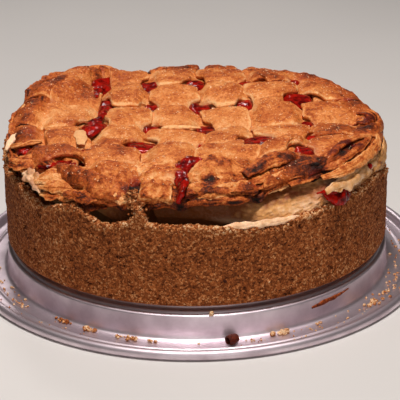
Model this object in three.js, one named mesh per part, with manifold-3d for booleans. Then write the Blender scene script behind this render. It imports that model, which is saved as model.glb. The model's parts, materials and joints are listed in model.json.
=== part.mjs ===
// Cherry cheese pie on the raised base of its springform tin.
// Millimetres, +Z up. The origin is on the tin's centre line, in the plane that the tin stands on,
// and -Y is the front of the pie.
//
// From below: the pressed tin base, a cup of baked crumbs, the cheese filling that stands in the cup
// and shows above its broken edge, the cherry filling in the cheese, and a woven lattice of twelve
// pastry strips that folds over a pastry rim.

import * as THREE from 'three';
import * as BufferGeometryUtils from 'three/addons/utils/BufferGeometryUtils.js';
import Module from 'manifold-3d';

const wasm = await Module();
wasm.setup();

// ---- driving dimensions ------------------------------------------------------------------------

const GAP = 0.35; // clearance between pieces that rest on each other

// springform base: one pressed sheet, a raised plate inside a flat brim with a rolled edge
const SHEET = 0.9;
const PLATE_TOP = 21.4;
const PLATE_RADIUS = 107.5;
const PLATE_SLOPE = 2; // the plate's edge slopes down over this width
const SHOULDER_RADIUS = 111.6;
const SHOULDER_HEIGHT = 16.8;
const SHOULDER_DROP = 2; // from the shoulder to the top of the wall
const STEP_RADIUS = 114.5;
const BRIM_FILLET = 2; // the wall runs into the brim over this height
const BRIM_INNER_RADIUS = 117.5;
const BRIM_TOP = 0.9;
const BEAD_RADIUS = 2.8;
const BEAD_CENTRE_RADIUS = 135.8;
const BEAD_START = 200; // degrees: the bead is rolled from here, over its top, to its underside
const BEAD_END = -90;
const BEAD_TURN = 58;

// crumb crust: a cup with a thick floor and a broken, uneven top edge
const CRUST_RADIUS = 115;
const CRUST_BOTTOM = PLATE_TOP + GAP;
const CRUST_FLOOR = 8;
const CRUST_WALL = 7;
const CRUST_TOP = 71.5;
const CRUST_FOOT = 1.2; // rounding where the wall meets the floor's underside
const CRUST_DRAFT = 0.6; // the wall leans in by this much at the top
const CRUST_EDGE = 1.8; // rounding of the top edge

// pastry: a shallow dish of woven strips that climbs to a shoulder and folds down at the rim
const LATTICE_CENTRE_TOP = 82.2;
const DISH_START = 8;
const DISH_END = 66;
const CREST_START = 80;
const CREST_END = 103;
const FALL_LENGTH = 5.2; // over this length past the shoulder's end the surface drops 1 mm
const PITCH = 31.2;
const STRIPS = 6; // each way
const STRIP_HALF_WIDTH = 13;
const CROWN_HALF_WIDTH = 6; // the full thickness of a strip reaches this far from its middle
const STRIP_THICKNESS = 3.4;
const STRIP_EDGE = 1.3;
const CROSSING_LIFT = STRIP_THICKNESS + GAP + 0.1; // an upper strip's underside over the lower one's
const CROSSING_ENTRY = STRIP_EDGE + GAP + 0.2; // the same, where the upper strip enters the crossing
const WEAVE_DEPTH = CROSSING_LIFT + STRIP_THICKNESS;
const LONG_STRIPS_SHIFT = 2.5; // the front-to-back strips lie this far right of the middle
const RIM_INNER_RADIUS = 93.4;
const RIM_SEAT_RADIUS = 102.5; // the rim rests on the cheese as far out as this
const RIM_RADIUS = 110.5;
const RIM_ROLL = 10; // width of the rolled edge outside the strips' ends
const RIM_LEDGE = 8.9; // top of the ledge under the strips' ends, below the top of the lattice
const RIM_DEPTH = 11.6;
const RIM_LIP = 4.4; // thickness of the rim at its outer edge
const CORNER_SINK = 7.6; // the ledge lies this much lower where two outer strips cross
const RIM_NOTCH = 2.4; // dips in the rolled edge between one strip's end and the next
const RIM_CREST = 4.5; // the crest of the rolled edge lies this far inside its outer face
const STRIP_TAILS = [9, 24]; // how far past its last crossing a strip is followed before it is trimmed

// fillings
const CHERRY_RADIUS = 92.6;
const CHERRY_FLOOR = 58;
const CHERRY_DROP = WEAVE_DEPTH + 3; // top of the cherries below the top of the lattice
const SKIRT_RADIUS = 113.6; // baked cheese that bulges over the broken crust on the right
const SKIRT_TOP = 79;
const SIDE_DROP = 3.5; // top of the cheese's side below the rim's seat, away from the skirt
const CHEESE_SKIN = 0.8; // least height of the cheese's side above the crust
const CHEESE_ROUND = 1.5; // rounding of the cheese's upper edge

const ROUND_STEPS = 60; // round the pie
const TIN_STEPS = 48; // round the tin
const DEGREE = Math.PI / 180;

// ---- materials ---------------------------------------------------------------------------------

const satinTin = new THREE.MeshStandardMaterial({ color: 0xb9b0b6, roughness: 0.38, metalness: 1 });
const bakedCrumbs = new THREE.MeshStandardMaterial({ color: 0x8a5330, roughness: 0.95, metalness: 0 });
const bakedCheese = new THREE.MeshStandardMaterial({ color: 0xd9a878, roughness: 0.7, metalness: 0 });
const cherryGel = new THREE.MeshStandardMaterial({ color: 0x9c1216, roughness: 0.15, metalness: 0 });
const bakedPastry = new THREE.MeshStandardMaterial({ color: 0xc98549, roughness: 0.75, metalness: 0 });

// ---- shape functions ---------------------------------------------------------------------------

const smoothstep = (from, to, value) => THREE.MathUtils.smoothstep(value, from, to);

// A rounded swell of height 1 at one bearing, measured in degrees from +X towards +Y.
function swell(bearing, centre, width) {
  const away = THREE.MathUtils.euclideanModulo(bearing - centre + 180, 360) - 180;
  return Math.exp(-((away / width) ** 2));
}

// How far the outer part of the lattice stands above its middle.
function dishRise(bearing) {
  return 2.4
    + 5.6 * swell(bearing, 92, 52)
    + 3.5 * swell(bearing, 38, 26)
    - 1.6 * swell(bearing, 0, 14)
    + 5.2 * swell(bearing, -44, 28)
    + 1.4 * swell(bearing, -100, 26);
}

// How far the rim's crest stands above the lattice beside it: high at the back left.
function crestRise(bearing) {
  return 12 * swell(bearing, 146, 25) + 2 * swell(bearing, 2, 26) - 1.6 * swell(bearing, 90, 22);
}

// The radius at which the pastry starts to fold down.
function foldRadius(bearing) {
  return 99 + 3.5 * swell(bearing, 0, 38) + 1.5 * swell(bearing, -52, 24) - 1.5 * swell(bearing, -122, 16);
}

// The top of the lattice, over the raised parts of the weave.
function latticeTop(x, y) {
  const radius = Math.hypot(x, y);
  const bearing = Math.atan2(y, x) / DEGREE;
  const dish = dishRise(bearing) * smoothstep(DISH_START, DISH_END, radius);
  const crest = crestRise(bearing) * smoothstep(CREST_START, CREST_END, radius);
  return LATTICE_CENTRE_TOP + dish + crest;
}

// The same surface at a radius and bearing, folding down at the rim.
function pastryTop(radius, bearing) {
  const fall = Math.max(0, radius - foldRadius(bearing)) / FALL_LENGTH;
  return latticeTop(radius * Math.cos(bearing * DEGREE), radius * Math.sin(bearing * DEGREE)) - fall ** 2;
}

// The pastry's outer edge: drawn in at the front left, where the crust stands outside it.
function rimRadius(bearing) {
  const lumps = 0.7 * Math.sin(9 * bearing * DEGREE + 0.6) + 0.5 * Math.sin(17 * bearing * DEGREE);
  return RIM_RADIUS + lumps
    + 1.4 * swell(bearing, 2, 24)
    + 1.2 * swell(bearing, 178, 14)
    - 4.2 * swell(bearing, -143, 26);
}

// The broken top edge of the crumb crust.
function crustTop(bearing) {
  const crumbs = 0.6 * Math.sin(13 * bearing * DEGREE) + 0.45 * Math.sin(29 * bearing * DEGREE + 1);
  return CRUST_TOP + crumbs
    + 3 * swell(bearing, 180, 9)
    - 3.4 * swell(bearing, -163, 7)
    + 5.6 * swell(bearing, -128, 8)
    - 6.6 * swell(bearing, -73, 12)
    - 3.2 * swell(bearing, -38, 22)
    - 14.5 * swell(bearing, 2, 17);
}

// How far the baked cheese bulges over the crust: 1 on the right, 0 elsewhere.
function skirt(bearing) {
  return smoothstep(-82, -66, bearing) * (1 - smoothstep(24, 40, bearing));
}

// ---- builders ----------------------------------------------------------------------------------

// A lathe turned round Z whose profile may change with the bearing. profile(bearing) gives [radius, z]
// pairs from the axis at the bottom, up the outside, to the axis at the top, or a ring's closed section.
function turned(profile, steps) {
  const start = profile(0).map(([radius, z]) => new THREE.Vector2(radius, z));
  const geometry = new THREE.LatheGeometry(start, steps);
  const position = geometry.attributes.position;
  for (let step = 0; step <= steps; step++) {
    const degrees = ((step % steps) * 360) / steps;
    const bearing = degrees > 180 ? degrees - 360 : degrees;
    profile(bearing).forEach(([radius, z], index) => {
      const x = radius * Math.cos(bearing * DEGREE);
      const y = radius * Math.sin(bearing * DEGREE);
      position.setXYZ(step * start.length + index, x, y, z);
    });
  }
  return geometry;
}

// A closed body carried through equal sections, each a ring of points, with a flat cap at each end.
function lofted(sections) {
  const count = sections[0].length;
  const index = [];
  for (let row = 0; row + 1 < sections.length; row++) {
    for (let side = 0; side < count; side++) {
      const next = (side + 1) % count;
      const [a, b] = [row * count + side, row * count + next];
      index.push(a, b, b + count, a, b + count, a + count);
    }
  }
  const last = (sections.length - 1) * count;
  for (let side = 1; side + 1 < count; side++) {
    index.push(0, side + 1, side, last, last + side, last + side + 1);
  }
  const geometry = new THREE.BufferGeometry().setFromPoints(sections.flat());
  geometry.setIndex(index);
  return geometry;
}

function solidOf(geometry) {
  const bare = geometry.clone();
  bare.deleteAttribute('normal');
  bare.deleteAttribute('uv');
  const merged = BufferGeometryUtils.mergeVertices(bare, 1e-4);
  const corners = merged.index.array;
  const whole = [];
  for (let first = 0; first < corners.length; first += 3) {
    const [a, b, c] = corners.slice(first, first + 3);
    if (a !== b && b !== c && c !== a) whole.push(a, b, c);
  }
  return new wasm.Manifold(new wasm.Mesh({
    numProp: 3,
    vertProperties: new Float32Array(merged.attributes.position.array),
    triVerts: new Uint32Array(whole),
  }));
}

function geometryOf(solid) {
  const mesh = solid.getMesh();
  const geometry = new THREE.BufferGeometry();
  geometry.setAttribute('position', new THREE.BufferAttribute(mesh.vertProperties, mesh.numProp));
  geometry.setIndex(new THREE.BufferAttribute(mesh.triVerts, 1));
  return geometry;
}

const pie = new THREE.Group();

function addPiece(name, geometry, material) {
  const mesh = new THREE.Mesh(geometry, material.clone());
  mesh.name = name;
  geometry.computeVertexNormals();
  pie.add(mesh);
}

// ---- tin ---------------------------------------------------------------------------------------

// The upper face from the middle to the bead, round the bead, and back along the under face.
function tinProfile() {
  const upper = [
    [0, PLATE_TOP],
    [PLATE_RADIUS, PLATE_TOP],
    [PLATE_RADIUS + PLATE_SLOPE, SHOULDER_HEIGHT + SHEET / 2],
    [SHOULDER_RADIUS, SHOULDER_HEIGHT],
    [STEP_RADIUS, SHOULDER_HEIGHT - SHOULDER_DROP],
    [CRUST_RADIUS, BRIM_TOP + BRIM_FILLET],
    [BRIM_INNER_RADIUS, BRIM_TOP],
  ];
  const bead = [];
  for (let turn = BEAD_START; turn >= BEAD_END; turn -= BEAD_TURN) {
    bead.push([
      BEAD_CENTRE_RADIUS + BEAD_RADIUS * Math.cos(turn * DEGREE),
      BEAD_RADIUS + BEAD_RADIUS * Math.sin(turn * DEGREE),
    ]);
  }
  const under = [
    [BEAD_CENTRE_RADIUS - BEAD_RADIUS, 0],
    [BRIM_INNER_RADIUS - SHEET, 0],
    [CRUST_RADIUS - SHEET, BRIM_TOP + BRIM_FILLET - SHEET / 2],
    [STEP_RADIUS - SHEET, SHOULDER_HEIGHT - SHOULDER_DROP - SHEET],
    [PLATE_RADIUS + PLATE_SLOPE - SHEET, SHOULDER_HEIGHT - SHEET],
    [PLATE_RADIUS - SHEET, PLATE_TOP - SHEET],
    [0, PLATE_TOP - SHEET],
  ];
  return [...upper, ...bead, ...under].reverse();
}

addPiece('pan_base', turned(tinProfile, TIN_STEPS), satinTin);

// ---- crust and fillings ------------------------------------------------------------------------

function crustProfile(bearing) {
  const top = crustTop(bearing);
  const inner = CRUST_RADIUS - CRUST_WALL;
  return [
    [0, CRUST_BOTTOM],
    [CRUST_RADIUS - CRUST_FOOT, CRUST_BOTTOM],
    [CRUST_RADIUS, CRUST_BOTTOM + CRUST_FOOT],
    [CRUST_RADIUS - CRUST_DRAFT, top - CRUST_EDGE],
    [CRUST_RADIUS - CRUST_DRAFT - CRUST_EDGE, top],
    [inner + CRUST_EDGE, top],
    [inner, top - CRUST_EDGE],
    [inner, CRUST_BOTTOM + CRUST_FLOOR],
    [0, CRUST_BOTTOM + CRUST_FLOOR],
  ];
}

addPiece('crumb_crust', turned(crustProfile, ROUND_STEPS), bakedCrumbs);

// How much lower the rim's ledge lies at the weave's four corners.
const cornerSink = (bearing) => CORNER_SINK * Math.sin(2 * bearing * DEGREE) ** 8;

// The rim's under face at one radius, down to the cheese inside and rising to the outer lip.
function rimUnderside(radius, bearing) {
  const inner = RIM_DEPTH + cornerSink(bearing);
  const lip = smoothstep(RIM_INNER_RADIUS + 4, RIM_RADIUS, radius);
  return pastryTop(radius, bearing) - THREE.MathUtils.lerp(inner, RIM_LIP, lip);
}

function cheeseProfile(bearing) {
  const side = CRUST_RADIUS - CRUST_WALL - GAP;
  const bulge = side + (SKIRT_RADIUS - side) * skirt(bearing);
  const ledge = crustTop(bearing) + 2 * GAP;
  const seat = (radius) => [radius, rimUnderside(radius, bearing) - GAP];
  const shoulder = THREE.MathUtils.lerp(seat(RIM_SEAT_RADIUS)[1] - SIDE_DROP, SKIRT_TOP, skirt(bearing));
  const lip = skirt(bearing) > 0 ? ledge : Math.min(ledge, shoulder - CHEESE_SKIN);
  return [
    [0, CRUST_BOTTOM + CRUST_FLOOR + GAP],
    [side, CRUST_BOTTOM + CRUST_FLOOR + GAP],
    [side, lip - 0.1],
    [bulge + 0.05, lip],
    [bulge, Math.max(shoulder - 2 * CHEESE_ROUND, lip + CHEESE_SKIN)],
    [bulge - CHEESE_ROUND, Math.max(shoulder, lip + 2 * CHEESE_SKIN)],
    seat(RIM_SEAT_RADIUS),
    seat(RIM_INNER_RADIUS),
    [CHERRY_RADIUS + 1.5 * GAP, CHERRY_FLOOR],
    [0, CHERRY_FLOOR],
  ];
}

addPiece('cheese_filling', turned(cheeseProfile, ROUND_STEPS), bakedCheese);

function cherryProfile(bearing) {
  const surface = (radius) => [radius, pastryTop(radius, bearing) - CHERRY_DROP];
  return [
    [0, CHERRY_FLOOR + GAP],
    [CHERRY_RADIUS, CHERRY_FLOOR + GAP],
    ...[1, 0.76, 0.43, 0].map((share) => surface(share * CHERRY_RADIUS)),
  ];
}

addPiece('cherry_filling', turned(cherryProfile, ROUND_STEPS), cherryGel);

// ---- lattice -----------------------------------------------------------------------------------

const longMiddle = (strip) => (strip - (STRIPS - 1) / 2) * PITCH + LONG_STRIPS_SHIFT;
const crossMiddle = (strip) => ((STRIPS - 1) / 2 - strip) * PITCH;

// Plain weave: front-to-back strip i passes over left-to-right strip j where i + j is odd.
const longIsOver = (long, cross) => (long + cross) % 2 === 1;

// The stations along one strip: [place along it, height of its under face above the weave's bed].
// A strip lies on the bed where it passes under, and is carried over the other strip elsewhere.
function stations(crossings) {
  const rows = [];
  for (const { middle, over } of crossings) {
    if (over) {
      for (const [away, height] of [[-STRIP_HALF_WIDTH, CROSSING_ENTRY], [-CROWN_HALF_WIDTH, CROSSING_LIFT],
        [CROWN_HALF_WIDTH, CROSSING_LIFT], [STRIP_HALF_WIDTH, CROSSING_ENTRY]]) {
        rows.push([middle + away, height]);
      }
    } else {
      rows.push([middle - STRIP_HALF_WIDTH, 0], [middle + STRIP_HALF_WIDTH, 0]);
    }
  }
  rows.sort((a, b) => a[0] - b[0]);
  const [first, last] = [rows[0][0], rows[rows.length - 1][0]];
  return [
    ...STRIP_TAILS.toReversed().map((away) => [first - away, CROSSING_ENTRY]),
    ...rows,
    ...STRIP_TAILS.map((away) => [last + away, CROSSING_ENTRY]),
  ];
}

// One strip, thick in the middle and thin at its edges. place(along, across) gives x and y.
function stripSolid(middle, crossings, place) {
  const across = [
    [-STRIP_HALF_WIDTH, 0],
    [STRIP_HALF_WIDTH, 0],
    [STRIP_HALF_WIDTH, STRIP_EDGE],
    [CROWN_HALF_WIDTH, STRIP_THICKNESS],
    [-CROWN_HALF_WIDTH, STRIP_THICKNESS],
    [-STRIP_HALF_WIDTH, STRIP_EDGE],
  ];
  const sections = stations(crossings).map(([along, height]) => across.map(([away, thick]) => {
    const [x, y] = place(along, middle + away);
    return new THREE.Vector3(x, y, latticeTop(x, y) - WEAVE_DEPTH + height + thick);
  }));
  return solidOf(lofted(sections));
}

function longStrip(long) {
  const crossings = [...Array(STRIPS).keys()].map((cross) => (
    { middle: crossMiddle(cross), over: longIsOver(long + 1, cross + 1) }));
  return stripSolid(-longMiddle(long), crossings, (along, across) => [-across, along]);
}

function crossStrip(cross) {
  const crossings = [...Array(STRIPS).keys()].map((long) => (
    { middle: longMiddle(long), over: !longIsOver(long + 1, cross + 1) }));
  return stripSolid(crossMiddle(cross), crossings, (along, across) => [along, across]);
}

// Everything inside the rim's rolled edge.
function insideRoll() {
  const wall = (bearing) => rimRadius(bearing) - RIM_ROLL - 2 * GAP;
  return solidOf(turned((bearing) => [
    [0, 0], [wall(bearing), 0], [wall(bearing), 200], [0, 200],
  ], ROUND_STEPS));
}

const inside = insideRoll();
for (let strip = 0; strip < STRIPS; strip++) {
  addPiece(`lattice_long_${strip + 1}`, geometryOf(longStrip(strip).intersect(inside)), bakedPastry);
  addPiece(`lattice_cross_${strip + 1}`, geometryOf(crossStrip(strip).intersect(inside)), bakedPastry);
}

// ---- rim ---------------------------------------------------------------------------------------

// How far the rolled edge dips where the gap between two neighbouring strips meets it.
function rimNotch(bearing) {
  const [x, y] = [RIM_RADIUS * Math.cos(bearing * DEGREE), RIM_RADIUS * Math.sin(bearing * DEGREE)];
  const along = Math.abs(y) > Math.abs(x) ? x - LONG_STRIPS_SHIFT : y;
  return RIM_NOTCH * Math.cos((along / PITCH) * Math.PI) ** 6;
}

// A ledge that carries the strips' ends, with a rolled edge outside them.
function rimProfile(bearing) {
  const outer = rimRadius(bearing);
  const wall = outer - RIM_ROLL;
  const top = (radius, drop) => [radius, pastryTop(radius, bearing) - drop];
  const under = (radius, lift = 0) => [radius, rimUnderside(radius, bearing) + lift];
  const ledge = RIM_LEDGE + cornerSink(bearing);
  const notch = rimNotch(bearing);
  const section = [
    under(RIM_INNER_RADIUS),
    under(RIM_SEAT_RADIUS),
    under(outer, 0.8),
    top(outer - 0.4, 0.6 + notch / 2),
    top(outer - RIM_CREST, notch),
    top(wall + 0.6, 1 + notch),
    top(wall, ledge),
    top(RIM_INNER_RADIUS, ledge),
  ];
  return [...section, section[0]];
}

addPiece('pastry_rim', turned(rimProfile, ROUND_STEPS), bakedPastry);

export default pie;
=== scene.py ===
"""Looks of a cherry cheese pie on its springform base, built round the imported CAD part.

Lengths in the classes are millimetres in the frame of the part: origin on the tin's centre line in the
plane that it stands on, +Z up, -Y the front of the pie. Meshes are scaled to metres when they are made.
"""

from __future__ import annotations

import json
import logging
import math
from collections.abc import Sequence
from dataclasses import dataclass, field
from enum import Enum

import bpy
import numpy as np
from mathutils import Matrix, Vector

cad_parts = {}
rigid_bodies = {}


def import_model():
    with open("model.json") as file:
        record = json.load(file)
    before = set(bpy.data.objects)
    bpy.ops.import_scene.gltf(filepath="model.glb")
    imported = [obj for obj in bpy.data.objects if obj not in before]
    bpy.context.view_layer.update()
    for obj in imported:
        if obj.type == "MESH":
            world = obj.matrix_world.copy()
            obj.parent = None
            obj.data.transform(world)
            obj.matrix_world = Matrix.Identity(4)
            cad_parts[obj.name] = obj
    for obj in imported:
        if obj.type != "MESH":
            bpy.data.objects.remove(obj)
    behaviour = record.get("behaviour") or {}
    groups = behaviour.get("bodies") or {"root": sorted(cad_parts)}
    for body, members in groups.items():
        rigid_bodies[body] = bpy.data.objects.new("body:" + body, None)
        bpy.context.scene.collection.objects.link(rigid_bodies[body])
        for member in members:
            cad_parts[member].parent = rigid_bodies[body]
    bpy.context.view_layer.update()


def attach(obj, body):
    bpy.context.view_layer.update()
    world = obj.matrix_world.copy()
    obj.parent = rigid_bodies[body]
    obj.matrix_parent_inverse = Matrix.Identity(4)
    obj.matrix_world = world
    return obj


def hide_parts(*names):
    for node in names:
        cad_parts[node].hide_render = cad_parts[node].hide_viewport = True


LOG = logging.getLogger("pie")
MM = 0.001
LEVEL = np.array([1.0, 1.0, 0.0])  # keeps what is level of a direction
TURN = 2 * math.pi
Array = np.ndarray
Node = bpy.types.Node
Socket = bpy.types.NodeSocket
Tree = bpy.types.NodeTree


# ---- numbers -----------------------------------------------------------------------------------


def smoothstep(low: float, high: float, value: Array) -> Array:
    """Returns 0 below low, 1 above high and a smooth cubic rise between them."""
    share = np.clip((value - low) / (high - low), 0.0, 1.0)
    return share * share * (3.0 - 2.0 * share)


def swell(bearing: Array, centre: float, width: float) -> Array:
    """Returns a bell of height 1 at one bearing in degrees, wrapped round the circle."""
    away = np.mod(bearing - centre + 180.0, 360.0) - 180.0
    return np.exp(-((away / width) ** 2))


def bell(distance: Array, width: float) -> Array:
    """Returns a bell of height 1 where distance is 0."""
    return np.exp(-((distance / width) ** 2))


def unit(away: Array, least: float = 1e-6) -> Array:
    """Returns directions of length 1, left shorter where away itself is shorter than least."""
    return away / np.maximum(np.linalg.norm(away, axis=-1, keepdims=True), least)


def all_round(count: int) -> Array:
    """Returns count bearings in degrees, evenly spread from -180 up."""
    return np.arange(count) * 360.0 / count - 180.0


def on_line(place: Array) -> Array:
    """Returns places along one line as points, for noise that changes along it alone."""
    return np.stack([place, 0 * place, 0 * place], axis=-1)


def corner_values(cell: Array, seed: int) -> Array:
    """Gives each whole-number corner of a grid its own fixed value.

    Args:
        cell: whole numbers, the last axis being x, y and z.
        seed: another number gives another set of values.

    Returns:
        Values from 0 to 1, from an integer hash of the corner.
    """
    whole = cell.astype(np.int64)
    mixed = whole[..., 0] * 374761393 + whole[..., 1] * 668265263 + whole[..., 2] * 1274126177 + seed * 974711
    mixed &= 0xFFFFFFFF
    mixed = ((mixed ^ (mixed >> 13)) * 1274126177) & 0xFFFFFFFF
    return (mixed ^ (mixed >> 16)) / float(0xFFFFFFFF)


def soft_noise(points: Array, size: float, seed: int, octaves: int = 1) -> Array:
    """Smooth random relief, the corner values of a grid blended with a quintic.

    Args:
        points: places, the last axis being x, y and z.
        size: spacing of the coarsest grid, in the units of points.
        seed: which relief.
        octaves: how many grids are added, each half as coarse and half as high.

    Returns:
        Values from about -1 to 1.
    """
    total = np.zeros(points.shape[:-1])
    height = 1.0
    reach = 0.0
    for octave in range(octaves):
        place = points / (size / 2**octave) + 17.3 * octave
        base = np.floor(place)
        part = place - base
        part = part**3 * (part * (part * 6.0 - 15.0) + 10.0)
        value = np.zeros(points.shape[:-1])
        for corner in np.ndindex(2, 2, 2):
            weight = np.prod(np.where(np.array(corner) == 1, part, 1.0 - part), axis=-1)
            value += weight * corner_values(base + np.array(corner), seed + 101 * octave)
        total += height * (2.0 * value - 1.0)
        reach += height
        height *= 0.5
    return total / reach


def grains(points: Array, size: float, seed: int) -> tuple[Array, Array]:
    """Splits space into rounded cells, as grains lie in a packed crumb.

    Args:
        points: places, the last axis being x, y and z.
        size: mean spacing of the cells.
        seed: which set of cells.

    Returns:
        The distance to the nearest cell centre as a share of size, and that cell's own value from 0 to 1.
    """
    place = points / size
    base = np.floor(place)
    nearest = np.full(points.shape[:-1], 9.0)
    value = np.zeros(points.shape[:-1])
    for step in np.ndindex(3, 3, 3):
        cell = base + np.array(step) - 1.0
        centre = cell + np.stack([corner_values(cell, seed + k) for k in (1, 2, 3)], axis=-1)
        distance = np.linalg.norm(place - centre, axis=-1)
        closer = distance < nearest
        nearest = np.where(closer, distance, nearest)
        value = np.where(closer, corner_values(cell, seed + 4), value)
    return nearest, value


def smooth_line(keys: Array, count: int) -> Array:
    """Carries a Catmull-Rom curve through key rows.

    Args:
        keys: the rows that the curve passes through.
        count: how many points come back.

    Returns:
        Points evenly spread over the keys, count rows.
    """
    padded = np.vstack([2 * keys[0] - keys[1], keys, 2 * keys[-1] - keys[-2]])
    along = np.linspace(0.0, len(keys) - 1.0, count)
    start = np.minimum(along.astype(int), len(keys) - 2)
    t = (along - start)[:, None]
    a, b, c, d = (padded[start + k] for k in range(4))
    return 0.5 * (2 * b + (c - a) * t + (2 * a - 5 * b + 4 * c - d) * t**2 + (3 * b - a - 3 * c + d) * t**3)


# ---- meshes ------------------------------------------------------------------------------------


def swept(points: Array, triangles: Array) -> float:
    """Returns six times the volume between triangles and the origin, negative where they face inward."""
    first, second, third = np.moveaxis(points[triangles], 1, 0)
    return np.einsum("ij,ij->i", first, np.cross(second, third)).sum()


class Ends(Enum):
    """How a net of points is closed where its rows begin and end."""

    RING = "the last row joins the first"
    CAPPED = "a point in the middle of each end row closes it"


@dataclass
class Stock:
    """Points and faces gathered for one piece, with a value per point for each painted mask."""

    points: list[Array] = field(default_factory=list)
    quads: list[Array] = field(default_factory=list)
    triangles: list[Array] = field(default_factory=list)
    masks: dict[str, list[Array]] = field(default_factory=dict)
    count: int = 0

    def add_net(self, net: Array, ends: Ends, masks: dict[str, Array] | None = None) -> None:
        """Adds a closed body: a net whose columns run round and whose rows run along.

        Args:
            net: points, rows by columns by 3. Columns always join up.
            ends: how the rows are closed.
            masks: a value for each point of the net, by name.
        """
        rows, columns = net.shape[:2]
        points = net.reshape(-1, 3)
        index = np.arange(rows * columns).reshape(rows, columns)
        following = np.roll(index, -1, axis=1)
        upper = index if ends is Ends.RING else index[:-1]
        upper_next = following if ends is Ends.RING else following[:-1]
        lower = np.roll(index, -1, axis=0) if ends is Ends.RING else index[1:]
        lower_next = np.roll(following, -1, axis=0) if ends is Ends.RING else following[1:]
        quads = np.stack([upper, upper_next, lower_next, lower], axis=-1).reshape(-1, 4)
        triangles = np.zeros((0, 3), int)
        values = {name: np.asarray(value, float).reshape(-1) for name, value in (masks or {}).items()}
        if ends is Ends.CAPPED:
            middles = np.array([net[0].mean(axis=0), net[-1].mean(axis=0)])
            first, last = len(points), len(points) + 1
            points = np.vstack([points, middles])
            start = np.stack([np.full(columns, first), following[0], index[0]], axis=-1)
            stop = np.stack([np.full(columns, last), index[-1], following[-1]], axis=-1)
            triangles = np.vstack([start, stop])
            for name, value in values.items():
                shaped = value.reshape(rows, columns)
                values[name] = np.append(value, [shaped[0].mean(), shaped[-1].mean()])
        if sum(swept(points, part) for part in (quads[:, :3], quads[:, [0, 2, 3]], triangles)) < 0:
            quads, triangles = quads[:, ::-1], triangles[:, ::-1]
        self.add(points, quads, triangles, values)

    def add(self, points: Array, quads: Array, triangles: Array, masks: dict[str, Array]) -> None:
        """Adds points with their own faces, numbered from 0, and their masks."""
        for name, value in masks.items():
            self.masks.setdefault(name, []).append(value)
        self.points.append(points)
        self.quads.append(quads + self.count)
        self.triangles.append(triangles + self.count)
        self.count += len(points)

    def object(self, name: str, smooth: bool = True) -> bpy.types.Object:
        """Makes the Blender object.

        Args:
            name: the piece's name.
            smooth: whether its faces are shaded smoothly.

        Returns:
            The object, at the origin, in metres.
        """
        points = np.vstack(self.points) * MM
        quads = np.vstack([q.reshape(-1, 4) for q in self.quads])
        triangles = np.vstack([t.reshape(-1, 3) for t in self.triangles])
        mesh = bpy.data.meshes.new(name)
        mesh.vertices.add(len(points))
        mesh.vertices.foreach_set("co", points.astype(np.float32).ravel())
        mesh.loops.add(quads.size + triangles.size)
        corners = np.concatenate([quads.ravel(), triangles.ravel()])
        mesh.loops.foreach_set("vertex_index", corners.astype(np.int32))
        sizes = np.concatenate([np.full(len(quads), 4), np.full(len(triangles), 3)])
        mesh.polygons.add(len(sizes))
        starts = np.concatenate([[0], np.cumsum(sizes)[:-1]])
        mesh.polygons.foreach_set("loop_start", starts.astype(np.int32))
        mesh.polygons.foreach_set("use_smooth", np.full(len(sizes), smooth))
        for mask, values in self.masks.items():
            layer = mesh.attributes.new(mask, "FLOAT", "POINT")
            layer.data.foreach_set("value", np.concatenate(values).astype(np.float32))
        mesh.update(calc_edges=True)
        mesh.validate()
        made = bpy.data.objects.new(name, mesh)
        bpy.context.scene.collection.objects.link(made)
        return made


def scatter(places: Array, sizes: Array, seed: int, light: Array | float = 0.5, flat: float = 0.8) -> Stock:
    """Small faceted grains, each a squashed and turned icosahedron with jittered corners.

    Args:
        places: centres, one row each.
        sizes: radius of each grain.
        seed: which jitter and turns.
        light: how light each grain is, from 0 to 1.
        flat: height of a grain as a share of its width.

    Returns:
        The grains' points and 20 faces each.
    """
    golden = (1 + 5**0.5) / 2
    corners = np.array(
        [(-1, golden, 0), (1, golden, 0), (-1, -golden, 0), (1, -golden, 0),
         (0, -1, golden), (0, 1, golden), (0, -1, -golden), (0, 1, -golden),
         (golden, 0, -1), (golden, 0, 1), (-golden, 0, -1), (-golden, 0, 1)]
    ) / math.hypot(1, golden)
    each = len(corners)
    faces = np.array(
        [(0, 11, 5), (0, 5, 1), (0, 1, 7), (0, 7, 10), (0, 10, 11), (1, 5, 9), (5, 11, 4), (11, 10, 2),
         (10, 7, 6), (7, 1, 8), (3, 9, 4), (3, 4, 2), (3, 2, 6), (3, 6, 8), (3, 8, 9), (4, 9, 5), (2, 4, 11),
         (6, 2, 10), (8, 6, 7), (9, 8, 1)]
    )
    random = np.random.default_rng(seed)
    count = len(places)
    jitter = 1.0 + random.uniform(-0.3, 0.3, (count, each, 1))
    stretch = np.stack(
        [random.uniform(0.7, 1.25, count), random.uniform(0.7, 1.1, count), np.full(count, flat)], axis=-1
    )
    turn = random.uniform(0, TURN, count)
    shape = corners[None] * jitter * stretch[:, None] * sizes[:, None, None]
    cos, sin = np.cos(turn)[:, None], np.sin(turn)[:, None]
    x, y, z = np.moveaxis(shape, -1, 0)
    turned = np.stack([x * cos - y * sin, x * sin + y * cos, z], axis=-1)
    points = (turned + places[:, None]).reshape(-1, 3)
    triangles = (faces[None] + each * np.arange(count)[:, None, None]).reshape(-1, 3)
    toast_and_shade = np.repeat(np.broadcast_to(light, count) + random.uniform(-0.12, 0.12, count), each)
    stock = Stock()
    stock.add(points, np.zeros((0, 4), int), triangles, {"toast_and_shade": toast_and_shade})
    return stock


# ---- finishes ----------------------------------------------------------------------------------


def linear(colour: str) -> tuple[float, float, float, float]:
    """Turns an sRGB hex colour such as #c98549 to linear red, green, blue and alpha."""
    values = [int(colour[k : k + 2], 16) / 255 for k in (1, 3, 5)]
    return (*(v / 12.92 if v <= 0.04045 else ((v + 0.055) / 1.055) ** 2.4 for v in values), 1.0)


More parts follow.
